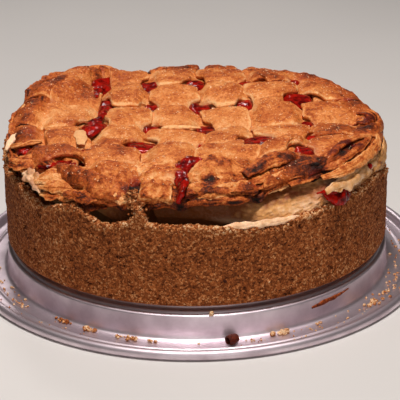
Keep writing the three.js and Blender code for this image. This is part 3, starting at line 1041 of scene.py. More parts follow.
@dataclass
class CherryLayer:
    """The cherry filling under the weave: lumps of fruit in gel that swell up into the openings."""

    form: PieForm
    bearings: int = 420
    rings: int = 120
    radius: float = 91.5
    floor: float = 62.0
    under_weave: float = 8.2
    fruit: float = 11.0

    def build(self, material: bpy.types.Material) -> bpy.types.Object:
        """Builds a cake of gel whose upper face is the weave's form, lowered, with a dome for each fruit."""
        place = np.concatenate([[0.4], np.linspace(2, self.radius, self.rings)])
        flat = polar(place[:, None], np.radians(all_round(self.bearings))[None], 0.0)
        x, y = flat[..., 0], flat[..., 1]
        distance, _ = grains(flat, self.fruit, 71)
        rise = np.zeros_like(x)
        for opening in OPENINGS:
            away = ((x - opening.x) / (opening.half_width + 1.6)) ** 4
            away = away + ((y - opening.y) / (opening.half_depth + 1.6)) ** 4
            rise = np.maximum(rise, np.exp(-(away**2)))
        upper = self.form.lattice_top(x, y) - self.under_weave + 1.3 * (1 - distance**2)
        upper = upper + 6.3 * rise + 0.9 * soft_noise(flat, 4.4, 73, 3)
        top = np.stack([x, y, upper], axis=-1)
        side = flat[-1:] + np.array([0.0, 0.0, self.floor])
        floor = flat[-1:] * 0.01 + np.array([0.0, 0.0, self.floor])
        stock = Stock()
        stock.add_net(np.concatenate([top, side, floor]), Ends.CAPPED)
        return dress(stock.object("cherry_layer"), material, ["cherry_filling"])


class Way(Enum):
    """Which way a strip of the lattice runs."""

    LONG = "long"
    CROSS = "cross"


@dataclass(frozen=True)
class PastrySpot:
    """A spot on the pastry: burnt darker, darker as painted shade where a gap or hollow lies, left paler
    where the depth is negative, or soaked with juice.
    """

    x: float
    y: float
    radius: float
    depth: float


# Burnt and pale spots. Two are painted shade: the dark spot at (-36, -95.6), where a gap lies between the
# front folds, and the one at (81, -64), in the dark slot of the leaf-shaped pocket.
SCORCHES_AND_SHADE = tuple(PastrySpot(*row) for row in (
    (13, -90, 2.0, 0.2), (-52, -80, 13, -0.03), (-48, -66, 6, 0.12), (-82, 62, 16, -0.08),
    (-44, -8, 14, -0.07), (-74, -42, 9, 0.14), (46, -82, 3, 0.2), (54, -80, 2.6, 0.3), (64, -84, 3, 0.3),
    (84, -56, 4.5, 0.3), (100, -18, 5, 0.3), (-102, 8, 4, 0.2), (-100, 34, 3, 0.2), (-92, 56, 3, 0.16),
    (72, 74, 7, 0.14), (92, 48, 6, 0.16), (30, -92, 5, 0.2), (-26, -86, 10, 0.14), (98, 30, 7, 0.14),
    (-12, 92, 8, 0.08), (80, -66, 6, 0.3), (88, -55, 5, 0.3), (95, -46, 4, 0.26), (81, -64, 1.6, 0.6),
    (7, -99.5, 3.4, 0.5), (13, -84, 9, 0.14), (-36, -95.6, 3.4, 0.5), (8, -101, 3.6, 0.3),
    (20, -84, 7, 0.16), (4, -82, 6, 0.14), (68, -82, 3.4, 0.4), (50, -81, 2.2, 0.3), (36, -88, 2.4, 0.3),
    (60, -86, 8, 0.12), (-98, 13, 7, -0.16), (-70, 27, 9, -0.08),
))


STAINS = tuple(PastrySpot(*row) for row in (
    (-43, 74, 6, 0.2), (-40, 84, 5, 0.16), (-72, 66, 9, 0.14), (-69, 5, 8, 0.18), (-50, 14, 4, 0.2),
    (-96, -12, 5, 0.5), (-88, -62, 6, 0.3), (22, -38, 8, 0.14), (-17, -38, 7, 0.16), (-34, -58, 8, 0.12),
    (26, -90, 2.2, 0.7), (66, -60, 6, 0.3), (70, 72, 7, 0.2), (-36, -98, 6, 0.3), (30, 80, 6, 0.16),
    (-2, -84, 3, 0.4), (-13, -88, 3, 0.3), (44, -36, 6, 0.14),
))


def spotted(
    spots: Sequence[PastrySpot], x: Array, y: Array, stretch: Array | float = 1.0, wider: float = 0.0
) -> Array:
    """Sums spots as bells of their distance.

    Args:
        spots: where, how big and how deep.
        x: places on the pastry.
        y: places on the pastry.
        stretch: factor on the distances, which frays a spot's edge.
        wider: what is added to each radius.

    Returns:
        The depth at each place.
    """
    return sum(s.depth * bell(np.hypot(x - s.x, y - s.y) * stretch, s.radius + wider) for s in spots)


@dataclass
class LatticeStrip:
    """One strip of the woven lattice, over and under the others, folded down over the rim at both ends.

    The first strip that runs front to back ends short of the rim at the front, where it is broken off.
    """

    form: PieForm
    way: Way
    number: int
    along_rows: int = 420
    upper_columns: int = 50
    lower_columns: int = 14
    crown: float = 2.1
    belly: float = 1.3
    weave: float = 2.2
    rim_lift: float = 0.45
    half_width: float = 14.4
    core: float = 13.5
    count: int = 6

    def name(self) -> str:
        """Returns the CAD node that the strip stands for."""
        return f"lattice_{self.way.value}_{self.number + 1}"

    def gap(self, line: float, along: Array) -> tuple[Array, Array]:
        """Finds the gap between two strips.

        It is as wide as an opening beside each opening, and a little under nothing in between, so that the
        strips touch there.

        Args:
            line: where the strips' common edge lies, across them.
            along: places along them.

        Returns:
            The middle and the half width of the gap at each place.
        """
        near = self.form.pitch / 2  # openings this near to the line belong to it
        if self.way is Way.LONG:
            found = [(o.y, o.x, o.half_width, o.half_depth) for o in OPENINGS if abs(o.x - line) < near]
        else:
            found = [(o.x, o.y, o.half_depth, o.half_width) for o in OPENINGS if abs(o.y - line) < near]
        keys = np.array(sorted(found))
        centre = np.interp(along, keys[:, 0], keys[:, 1])
        half = np.full_like(along, -0.2)
        for place, _, width, reach in found:
            half = half + (width + 0.2) * np.exp(-(((along - place) / (max(reach, 1.0) + 2.0)) ** 8))
        at_rim = smoothstep(88, 99, np.hypot(centre, along))
        return centre, np.maximum(half, -0.2 + 1.3 * at_rim)

    def edges(self, along: Array) -> tuple[Array, Array]:
        """Returns the strip's lower and upper edge across it, at places along it."""
        middle = self.middle()
        seed = 200 + self.number + (50 if self.way is Way.LONG else 0)
        low = np.full_like(along, middle - self.half_width)
        high = np.full_like(along, middle + self.half_width)
        # Strips that run front to back are counted upward in x, the others downward in y.
        place = self.number if self.way is Way.LONG else self.count - 1 - self.number
        if place < self.count - 1:
            centre, half = self.gap(middle + self.form.pitch / 2, along)
            high = centre - half
        if place > 0:
            centre, half = self.gap(middle - self.form.pitch / 2, along)
            low = centre + half
        wider = 0.9 * self.lift(along)
        ragged = [1.5 * soft_noise(on_line(along), 8, seed + k, 4) for k in (0, 20)]
        return low - wider + ragged[0], high + wider + ragged[1]

    def middle(self) -> float:
        """Returns where the strip's middle lies across it."""
        middle = self.form.long_middle if self.way is Way.LONG else self.form.cross_middle
        return middle(self.number)

    def lift(self, along: Array) -> Array:
        """Returns 1 where the strip passes over and -1 where it passes under.

        It rises only once it is clear of the strip on top of it, and then steeply, as soft dough does.
        """
        if self.way is Way.LONG:
            phase = np.cos(np.pi * (along - self.form.cross_middle(0)) / self.form.pitch)
            side = 1.0 if self.number % 2 == 1 else -1.0
        else:
            phase = np.cos(np.pi * (along - self.form.long_middle(0)) / self.form.pitch)
            side = 1.0 if self.number % 2 == 0 else -1.0
        return 2.0 * smoothstep(-0.12, 0.72, side * phase) - 1.0

    def build(self, material: bpy.types.Material) -> bpy.types.Object:
        """Carries the strip's section, a flat ellipse, along the weave and folds its ends over the rim."""
        form = self.form
        long, which = self.way is Way.LONG, (self.way, self.number)
        upper = np.linspace(-1, 1, self.upper_columns)
        lower = np.linspace(1, -1, self.lower_columns + 2)[1:-1]
        across = np.sin(np.concatenate([upper, lower]) * math.pi / 2)
        is_upper = np.concatenate([np.ones(self.upper_columns), np.zeros(self.lower_columns)])
        share = np.linspace(0, 1, self.along_rows)[:, None]
        seed = 300 + 7 * self.number + (90 if long else 0)
        side = self.middle() + self.core * across[None]
        ragged = 0.16 * soft_noise(on_line(side), 6, seed, 3)

        def end(sign: float, fold_share: Array) -> Array:
            """Finds where flat dough ends so that it reaches fold_share of the way round the fold."""
            u = np.full_like(side, sign * 80.0)
            for _ in range(4):
                bearing = np.degrees(np.arctan2(u, side) if long else np.arctan2(side, u))
                flat = form.fold_radius(bearing) + form.fold_length * fold_share
                u = sign * np.sqrt(np.maximum(flat**2 - side**2, 100.0))
            return u

        random = np.random.default_rng(seed)
        short = which == (Way.LONG, 0)
        start = end(-1.0, random.uniform(0.62, 0.98) - 1.3 * short + ragged)
        stop = end(1.0, random.uniform(0.62, 0.98) - ragged)
        along = start + (stop - start) * share
        low, high = self.edges(along.mean(axis=1))
        v = (low + high)[:, None] / 2 + (high - low)[:, None] / 2 * across[None]
        x, y = (v, along) if long else (along, v)
        flat_radius = np.hypot(x, y)
        px, py, pz = form.drape(x, y)
        at_rim = smoothstep(90, 99, flat_radius)
        lift = self.lift(along) * (1 - at_rim) + self.rim_lift * at_rim
        edge = np.abs(across)[None]
        points = np.stack([px, py, 0 * px], axis=-1)
        rounding = np.sqrt(np.maximum(1 - edge**9, 0.0))
        base = pz - self.weave - 0.5 + self.weave * lift - 0.55 * edge**2 * (0.6 + 0.4 * lift)
        base = base - 5.0 * short * smoothstep(0.06, 0.0, share)
        slow = soft_noise(points, 22, 401, 2)
        middle = soft_noise(points, 7.5, 403 + seed, 2)
        small = soft_noise(points, 2.4, 405 + seed, 3)
        front = smoothstep(-62, -76, py)
        blister, _ = grains(points, 3.4, 407 + seed)
        bubbly = front * (1.0 if which in {(Way.LONG, 2), (Way.LONG, 3), (Way.CROSS, 5)} else 0.5)
        relief = 0.8 * slow + (0.6 + 0.7 * at_rim) * middle + (0.42 + 0.4 * at_rim + 0.3 * front) * small
        relief = relief + 2.6 * bubbly * (0.42 - blister**2) * rounding
        thick = self.crown * rounding
        top = base + thick + relief * (0.4 + 0.6 * rounding)
        pz = np.where(is_upper[None] > 0, top, base - self.belly * rounding + 0.4 * relief)
        net = np.stack([px, py, form.settle(pz)], axis=-1)
        thin_edge = smoothstep(0.82, 0.98, edge) * (0.5 + 0.5 * smoothstep(-0.6, 0.4, lift))
        back_left = swell(np.degrees(np.arctan2(py, px)), 150, 34) * smoothstep(62, 90, flat_radius)
        patchy = smoothstep(-0.4, 0.4, soft_noise(points, 13, 411, 2))
        # Painted shade: the darkest line right at each strip's edge stands for the shade where the strips
        # meet; the band just inside it is made paler.
        seam_shade_and_pale_edge = 0.9 * smoothstep(0.965, 0.995, edge) - thin_edge * patchy
        bake = 0.28 + 0.12 * np.maximum(lift, 0) * rounding + 0.16 * at_rim + 0.02 * front + 0.3 * seam_shade_and_pale_edge
        bake = bake - 0.03 * back_left + 0.09 * smoothstep(40, 90, flat_radius)
        bake = bake + 0.12 * slow + 0.14 * middle + 0.22 * bubbly * (0.5 - blister) - 0.08 * small
        if which == (Way.LONG, 2):
            bake = bake - 0.14 * front + 0.3 * front * (0.45 - blister)
        bake = bake + spotted(SCORCHES_AND_SHADE, px, py, 1 + 0.5 * middle) * (0.8 + 0.5 * small)
        juice = np.zeros_like(px)
        for hole in OPENINGS:
            away = np.hypot((px - hole.x) / (hole.half_width + 1.5), (py - hole.y) / (hole.half_depth + 1.5))
            juice = np.maximum(juice, 1 - smoothstep(0.7, 1.2, away + 0.4 * middle))
        juice = 0.45 * juice * smoothstep(0.55, 0.9, edge)
        juice = juice + spotted(STAINS, px, py, 1 + 0.4 * middle) * (0.8 + 0.6 * small)
        stock = Stock()
        stock.add_net(net, Ends.CAPPED, {"bake": bake, "juice": np.clip(juice, 0, 1)})
        return dress(stock.object(f"strip_{self.name()[8:]}"), material, [self.name()])


@dataclass
class PastryRim:
    """The rim under the strips' ends: a folded roll of flaky layers, creased between the ends."""

    form: PieForm
    bearings: int = 1000
    section: int = 70
    crease_width: float = 2.3
    creases: tuple[tuple[float, float], ...] = (
        (-144, 1.4), (-128, 1.6), (-105.5, 3.4), (-94.5, 3.0), (-71.5, 3.2), (-53, 1.6), (-35, 1.2),
        (-17, 1.6), (0, 1.0), (17, 2.2), (36, 2.0), (53, 2.2), (72.5, 3.0), (87.5, 3.2), (108, 3.4),
        (124, 3.0), (144, 2.4), (163, 2.2), (180, 2.0), (-163, 2.2),
    )

    def sink(self, bearing: Array) -> Array:
        """Returns how deep the rim is creased."""
        return sum(depth * swell(bearing, centre, self.crease_width) for centre, depth in self.creases)

    def build(self, material: bpy.types.Material) -> bpy.types.Object:
        """Turns a closed section that follows the fold just under the strips, and roughens it.

        Flaky layers are ridges that run round the rim, broken up by noise; the front has round lumps.
        """
        form = self.form
        bearing = all_round(self.bearings)
        angle = np.radians(bearing)
        fold, drop = form.fold_radius(bearing), form.fold_drop(bearing)
        crease = self.sink(bearing)

        def on_fold(flat: Array, sink: float, pull: float) -> Array:
            """Returns radius and height of places sink under the draped pastry and pulled in from it."""
            x, y, z = form.drape(flat * np.cos(angle), flat * np.sin(angle))
            creased = crease * smoothstep(92, 99, flat)
            return np.stack([np.hypot(x, y) - pull - 0.7 * creased, z - sink - creased], axis=-1)

        keys = [on_fold(np.full_like(bearing, 93.4), 10.5, 0), on_fold(np.full_like(bearing, 93.6), 3.4, 0)]
        keys += [on_fold(fold - 2 + 16 * share, 1.9, 1.3 * share) for share in np.linspace(0, 1, 9)]
        outer = form.rim_radius(bearing)
        low = keys[-1][:, 1]
        inner_low = np.minimum(low - 2.2, keys[0][:, 1])
        corners = ((outer - 2.6, low - 1.2), (outer - 7, low - 1.6), (np.full_like(outer, 98.0), inner_low))
        keys += [np.stack(corner, axis=-1) for corner in corners] + [keys[0]]
        profile = resample(np.stack(keys, axis=1), self.section + 1)[:, :-1]
        net = lathe(profile, bearing)
        arc = np.stack([
            np.broadcast_to(angle[None] * 105, net.shape[:2]),
            np.broadcast_to(np.linspace(0, 55, self.section)[:, None], net.shape[:2]),
            np.zeros(net.shape[:2]),
        ], axis=-1)
        layered = np.abs(soft_noise(arc * np.array([0.25, 1.0, 1.0]), 2.6, 501, 3))
        lump = soft_noise(net, 7.0, 503, 4)
        ball, _ = grains(net, 4.6, 505)
        front = swell(bearing, -115, 26)[None]
        relief = 1.5 * (0.4 - layered) + 1.5 * lump + 1.6 * front * (0.45 - ball**2)
        visible = smoothstep(95, 101, np.hypot(net[..., 0], net[..., 1]))
        centre = profile.mean(axis=1)
        outward = unit(net - polar(centre[:, 0], angle, centre[:, 1])[None])
        net = net + outward * (relief * visible)[..., None]
        net[..., 2] = form.settle(net[..., 2])
        height = net[..., 2] - (profile[..., 1].max(axis=1) - drop)[None]
        # Painted shade: the grooves between the flaky layers and the creases between the strips' ends are
        # made darker. The rim is also darker lower down.
        bake = 0.55 + 0.6 * (layered - 0.2) + 0.16 * lump
        bake = bake + 0.12 * smoothstep(3, -3, height) + 0.04 * crease[None]
        bake = bake + spotted(SCORCHES_AND_SHADE, net[..., 0], net[..., 1], wider=2)
        stock = Stock()
        stock.add_net(net, Ends.RING, {"bake": bake, "juice": np.zeros_like(bake)})
        return dress(stock.object("pastry_rim_folds"), material, ["pastry_rim"])


@dataclass(frozen=True)
class Flap:
    """A folded piece of dough, or a lump of filling.

    Each key is a place on its middle line (x, y, z) with the section's half width, half thickness and
    tilt in degrees; a positive tilt turns the side that faces outward down. The others are shares: how dark
    it is baked, with painted shade in some, how far its edges waver, how deep its layers and its lumps are,
    and how wet with juice it is.
    """

    name: str
    keys: tuple[tuple[float, float, float, float, float, float], ...]
    bake: float = 0.5
    ragged: float = 0.16
    layered: float = 0.45
    lumpy: float = 0.5
    wet: float = 0.0


FLAPS = (
    Flap("stacked_fold_left_low", (
        (31, -98.5, 82.4, 1.6, 0.8, 12), (37, -94.4, 83.6, 3.2, 1.0, 16), (45.6, -89, 84.6, 3.4, 1.0, 16),
        (54, -83.4, 85.2, 2.8, 1, 14), (59, -79.6, 85.2, 1, 0.7, 10),
    ), 0.52, 0.2, 0.25, 0.4),
    Flap("stacked_flake_tan", (
        (38, -97, 79.6, 1.0, 0.6, 20), (44, -92.4, 80.6, 2.4, 1.2, 30), (50, -88.4, 81.2, 2.0, 1.0, 30),
        (53, -86.4, 81, 0.8, 0.6, 20),
    ), 0.3, 0.24, 0.2, 1.0),
    Flap("stacked_fold_left_middle", (
        (29, -96.8, 85.0, 1.6, 0.8, 12), (35.6, -92.4, 86.8, 3.4, 1.0, 18),
        (44.4, -86.8, 88.2, 3.6, 1.0, 18), (52.4, -81.2, 88.6, 2.8, 0.9, 16), (57, -77.6, 88.2, 1, 0.7, 10),
    ), 0.46, 0.2, 0.25, 0.4),
    Flap("stacked_fold_left_top", (
        (26, -93, 88.6, 2.4, 1.0, 10), (33, -88, 91.0, 4.6, 1.5, 16), (42, -81.6, 92.8, 5.2, 1.8, 18),
        (50, -77.2, 93.0, 4.6, 1.8, 18), (55.4, -76.4, 91.4, 1.8, 1.2, 25),
    ), 0.6, 0.16, 0.3, 0.9),
    Flap("stacked_fold_right_low", (
        (50, -92.4, 82.4, 1.6, 0.8, 12), (57, -87.8, 83.6, 3.2, 1.0, 16), (65.6, -82, 84.4, 3.2, 1.0, 16),
        (73, -76.6, 84.4, 1.2, 0.8, 14),
    ), 0.56, 0.2, 0.25, 0.4),
    Flap("stacked_fold_right_middle", (
        (49, -90, 85.4, 1.5, 0.8, 12), (56, -85.4, 86.6, 3.2, 0.9, 18), (64, -80, 87.2, 3.2, 0.9, 18),
        (71, -76, 86.8, 1.2, 0.8, 14),
    ), 0.6, 0.2, 0.25, 0.4),
    Flap("stacked_fold_right_top", (
        (48, -85, 88.6, 1.6, 1, 10), (55.4, -81.4, 90.4, 3.6, 1.5, 16), (62.4, -78.6, 91.0, 4.0, 1.8, 20),
        (68.4, -77, 90.0, 3.4, 2.0, 26), (72.6, -77, 87.6, 1.6, 1.4, 40),
    ), 0.7, 0.14, 0.3, 0.8),
    Flap("leaf_lip_outer", (
        (68, -87, 84, 1.4, 0.8, 20), (78, -82, 85, 2.6, 1.1, 40), (89, -70.5, 85.6, 3.0, 1.2, 45),
        (99, -51.5, 85.6, 2.8, 1.2, 45), (104, -38, 85.8, 2.2, 1.1, 40), (105, -27, 85.6, 1, 0.8, 30),
    ), 0.4, 0.14, 0.3, 0.5),
    Flap("leaf_lip_inner", (
        (68, -82, 86.8, 1.2, 0.8, 10), (75, -79, 88, 2.2, 1.1, 25), (83, -70, 89, 2.2, 1.2, 25),
        (92, -55, 89.2, 2.2, 1.2, 25), (97.4, -43, 88.8, 1.8, 1, 20), (100, -34, 87.8, 0.9, 0.7, 10),
    ), 0.5, 0.14, 0.3, 0.5, 0.1),
    Flap("leaf_floor", (
        (72, -76, 87.2, 1, 0.7, 20), (80, -66, 88.2, 5.0, 0.9, 10), (88, -54, 88.2, 5.0, 0.9, 10),
        (96, -41, 87.8, 1.2, 0.7, 20),
    ), 0.72, 0.12, 0.35, 0.3, 0.3),
    Flap("leaf_lip_top", (
        (68, -80, 88, 1.2, 0.8, 0), (74, -69, 90, 2.6, 1.3, -10), (81, -56, 91, 3.0, 1.4, -12),
        (89, -45, 90.6, 2.8, 1.3, -10), (96, -38, 89.4, 2, 1.1, -5), (101, -33, 87.6, 1, 0.8, 0),
    ), 0.5, 0.14, 0.3, 0.5, 0.12),
    Flap("right_curl", (
        (94, -18, 86.5, 1.2, 0.9, 0), (101, -19, 86.6, 2.8, 1.5, 30), (107.4, -13, 85.4, 3.2, 1.6, 60),
        (109.8, 0, 84.4, 3.4, 1.6, 66), (108, 13, 84.4, 3, 1.5, 55), (101, 19, 85.6, 1.6, 1, 20),
    ), 0.56, 0.12, 0.3, 0.6),
    # Its near-burnt brown is painted shade in the hollow of the curl; it is a little wet with juice.
    Flap("right_curl_inner", (
        (95, -8, 86.8, 1, 0.8, 0), (100, -9, 87.4, 2.2, 1.2, 10), (104, -3, 87.2, 2.4, 1.2, 20),
        (103, 6, 86.8, 2, 1.2, 10), (97, 9, 86.8, 1, 0.8, 0),
    ), 0.84, 0.14, 0.4, 0.6, 0.2),
    Flap("front_left_strip_end", (
        (-90, -66, 77.6, 1.6, 0.9, 20), (-84, -71, 79.4, 4.2, 1.2, 34), (-76, -71, 80.6, 6.0, 1.4, 34),
        (-69, -71, 80.8, 5.6, 1.4, 30), (-64, -73, 80.2, 1.6, 0.9, 20),
    ), 0.34, 0.2, 0.35, 0.7),
    Flap("front_left_strip_layer", (
        (-88, -71, 75.4, 1.4, 0.7, 30), (-81, -76, 76.6, 3.8, 1.0, 40), (-73, -78.6, 77.4, 3.8, 1.0, 40),
        (-66, -81, 77.2, 1.4, 0.7, 30),
    ), 0.42, 0.24, 0.3, 0.7),
    Flap("front_left_strip_edge", (
        (-80, -63, 81.4, 1, 0.5, 10), (-75, -61, 82, 2.0, 0.6, 15), (-69, -60.6, 82, 2.0, 0.6, 10),
        (-65, -62, 81.4, 0.8, 0.5, 0),
    ), 0.06, 0.2, 0.1, 0.4),
    Flap("left_layer_top", (
        (-106, -42, 79.6, 1.2, 0.7, 20), (-100, -47.4, 81, 2.8, 0.9, 30), (-92, -46, 82, 3.0, 0.9, 25),
        (-85, -41, 82.6, 1.4, 0.7, 20),
    ), 0.5, 0.24, 0.3, 0.7),
    Flap("left_layer_middle", (
        (-106, -45, 77.4, 1.2, 0.7, 20), (-99.6, -51, 78.8, 2.8, 0.9, 30), (-92, -50, 79.8, 2.8, 0.9, 25),
        (-85, -46, 80.4, 1.2, 0.7, 20),
    ), 0.6, 0.24, 0.3, 0.7),
    Flap("front_left_flake", (
        (-86, -74, 71.6, 1.2, 0.7, 30), (-79.6, -78.4, 72.6, 3.4, 1.0, 42), (-72, -81, 73.2, 3.6, 1.0, 42),
        (-65, -86, 73, 1.4, 0.7, 30),
    ), 0.4, 0.24, 0.35, 0.8),
    Flap("front_left_flake_low", (
        (-72, -83, 70, 1.2, 0.7, 30), (-64, -88, 71.4, 3.2, 1.1, 42), (-56, -91.4, 71.6, 3.0, 1.1, 42),
        (-48, -94, 71.4, 1.2, 0.7, 30),
    ), 0.74, 0.24, 0.35, 1.0),
    Flap("front_left_hem", (
        (-72, -84, 75.4, 1.4, 0.8, 30), (-65, -89.6, 76.6, 3.4, 1.4, 42), (-56, -92.6, 77.2, 3.8, 1.6, 42),
        (-48, -93.6, 77.4, 3.2, 1.4, 40), (-42, -95, 77.4, 1.2, 0.8, 30),
    ), 0.62, 0.24, 0.35, 1.2),
    Flap("front_blob_left", (
        (-47, -94.6, 79, 1.2, 1.0, 0), (-43.4, -96.4, 79.4, 2.2, 1.8, 10), (-40.6, -97.4, 79, 1.2, 1.0, 0),
    ), 0.26, 0.2, 0.2, 1.0),
    Flap("front_blob_right", (
        (-43, -98.6, 76.8, 1.6, 1.3, 0), (-39, -100.2, 78.0, 3.2, 2.6, 10),
        (-35, -101.6, 77.4, 1.6, 1.4, 0),
    ), 0.34, 0.3, 0.2, 2.0, 0.12),
    Flap("front_dome", (
        (-5, -92, 86.2, 2.6, 1.4, 20), (1, -92, 88.2, 8.0, 2.4, 30), (10, -91, 89.2, 10.4, 3.0, 34),
        (19, -89, 88.8, 9.2, 2.6, 34), (26, -88, 87.8, 5.0, 1.8, 28), (30, -88, 86.6, 1.6, 1.0, 20),
    ), 0.4, 0.08, 0.35, 1.3),
    Flap("front_dome_layer", (
        (-4, -101, 85.4, 1.6, 0.8, 30), (3, -103.4, 85.8, 3.0, 1.1, 42), (14, -103.4, 86, 3.2, 1.1, 42),
        (24, -99, 85.8, 2.6, 1, 40), (30, -94, 85.4, 1, 0.7, 30),
    ), 0.34, 0.22, 0.3, 0.9),
    Flap("front_dome_hem", (
        (-3.4, -103.6, 82.8, 1.4, 0.8, 30), (4, -105.8, 83, 2.6, 1.1, 50), (15, -105.2, 83.2, 2.6, 1.1, 50),
        (25, -100.6, 83.2, 1.6, 0.8, 35),
    ), 0.36, 0.22, 0.3, 1.0),
    Flap("left_flake_low", (
        (-106, -30, 77, 1.4, 0.9, 20), (-107.5, -16, 79.5, 3.4, 1.5, 35), (-108, 0, 81.6, 3.8, 1.6, 35),
        (-108, 16, 83.8, 3.4, 1.5, 30), (-105, 28, 86, 1.4, 0.9, 20),
    ), 0.6, 0.2, 0.4, 0.9),
    Flap("left_flake_pale", (
        (-102, 4, 84.6, 1.4, 0.9, 20), (-102, 13, 86, 4.0, 1.2, 30), (-100.6, 23, 87.4, 4.2, 1.2, 30),
        (-97, 33, 88.8, 1.6, 0.9, 25),
    ), 0.26, 0.2, 0.3, 0.7),
    Flap("left_flake_top", (
        (-103, 30, 88.4, 1.4, 0.9, 20), (-101, 42, 90.8, 3.6, 1.6, 34), (-95, 54, 92.6, 4, 1.6, 34),
        (-87, 65, 94, 3.4, 1.4, 30), (-80, 72, 94.2, 1.4, 0.9, 20),
    ), 0.66, 0.2, 0.5, 0.9),
    Flap("left_pocket_lip", (
        (-108, -22, 80.2, 1.2, 0.8, 20), (-103, -27, 82.2, 2.6, 1.2, 10), (-96, -26, 83.6, 3, 1.3, 0),
        (-89, -25, 84, 1.2, 0.8, 0),
    ), 0.4, 0.18),
    Flap("left_hem_low", (
        (-108, -26, 76.4, 1.4, 0.9, 30), (-103, -37, 76.6, 3.6, 1.5, 35), (-97, -46, 77, 3.4, 1.5, 35),
        (-92, -53, 77.4, 1.4, 0.9, 25),
    ), 0.6, 0.22, 0.5, 0.9),
    Flap("back_fold_corner", (
        (-76, 76, 92.4, 2, 1, -10), (-66, 84, 92.6, 5, 2, -6), (-57, 89, 91.4, 4, 1.8, 0),
        (-52, 91, 89.6, 1.5, 1, 10),
    ), 0.46, 0.16),
    Flap("pale_thin_edge", (
        (-20, -6, 84.4, 0.8, 0.5, 0), (-16, -7, 85.2, 1.6, 0.8, 10), (-6, -7.4, 85.2, 1.7, 0.8, 10),
        (3, -7, 84.6, 0.8, 0.5, 0),
    ), 0.1, 0.14, 0.1, 0.2),
    Flap("pale_flap_left", (
        (-68.2, -11, 85.2, 2.4, 0.5, 0), (-67.4, -17, 86.2, 3.4, 0.6, -6), (-66.6, -25, 86.0, 3.4, 0.6, -8),
        (-65.6, -33, 84.7, 2.5, 0.5, -8),
    ), 0.1, 0.16, 0.1, 0.2, 0.16),
)

CHEESE_LUMPS = (
    Flap("cheese_lump_left", (
        (-97, -56, 76.4, 1.4, 1.2, 0), (-93, -60, 77.6, 3.6, 3.0, 10), (-90, -66, 77.0, 3.8, 3.0, 10),
        (-87.6, -71, 74.6, 2.4, 1.8, 10), (-86, -75, 72.2, 1.0, 0.8, 0),
    ), 0.24, 0.3, 0.3, 2.4, 0.3),
    Flap("cheese_lump_low", (
        (-79, -73, 72, 1.5, 1.2, 0), (-74, -77, 72.4, 3.0, 2.2, 10), (-68, -82, 72, 1.5, 1.2, 0),
    ), 0.34, 0.2, 0.3, 2.0),
    Flap("cheese_bit_left", (
        (-109.4, -27, 79.6, 0.8, 0.7, 0), (-108.4, -20, 81.4, 2.2, 1.3, 0),
        (-106.6, -13, 82.4, 2.0, 1.2, 0), (-104.6, -7, 82.6, 0.7, 0.6, 0),
    ), 0.0, 0.16, 0.2, 0.6),
    Flap("cheese_cream_line", (
        (14, -111, 66.2, 0.6, 0.5, 40), (21, -110.2, 66.4, 1.7, 1.1, 50), (31, -107.6, 65.8, 2.0, 1.3, 60),
        (42, -103.8, 65.6, 1.9, 1.2, 60), (50, -100, 65.8, 1.4, 1.0, 50), (55, -97.2, 66, 0.6, 0.5, 40),
    ), 0.12, 0.12, 0.2, 0.6, 0.06),
    Flap("cheese_crust_right", (
        (70, -90, 77, 1.2, 0.7, 50), (77, -85, 78.6, 3.6, 1.0, 58), (86, -76, 79, 4.6, 1.1, 60),
        (94, -62, 79.4, 4.4, 1.1, 62), (101, -47, 80, 3.6, 1.0, 62), (105, -36, 80.2, 1.2, 0.7, 60),
    ), 0.3, 0.2, 0.4, 0.8, 0.05),
    Flap("cheese_crust_far", (
        (100, -54, 75.4, 1.2, 0.7, 66), (105.4, -42, 76, 4, 1.0, 76), (109, -29, 76.2, 4.4, 1.1, 78),
        (111, -16, 75.6, 4, 1.0, 80), (111.6, -4, 74.8, 1.4, 0.7, 78),
    ), 0.5, 0.16, 0.4, 0.8),
)

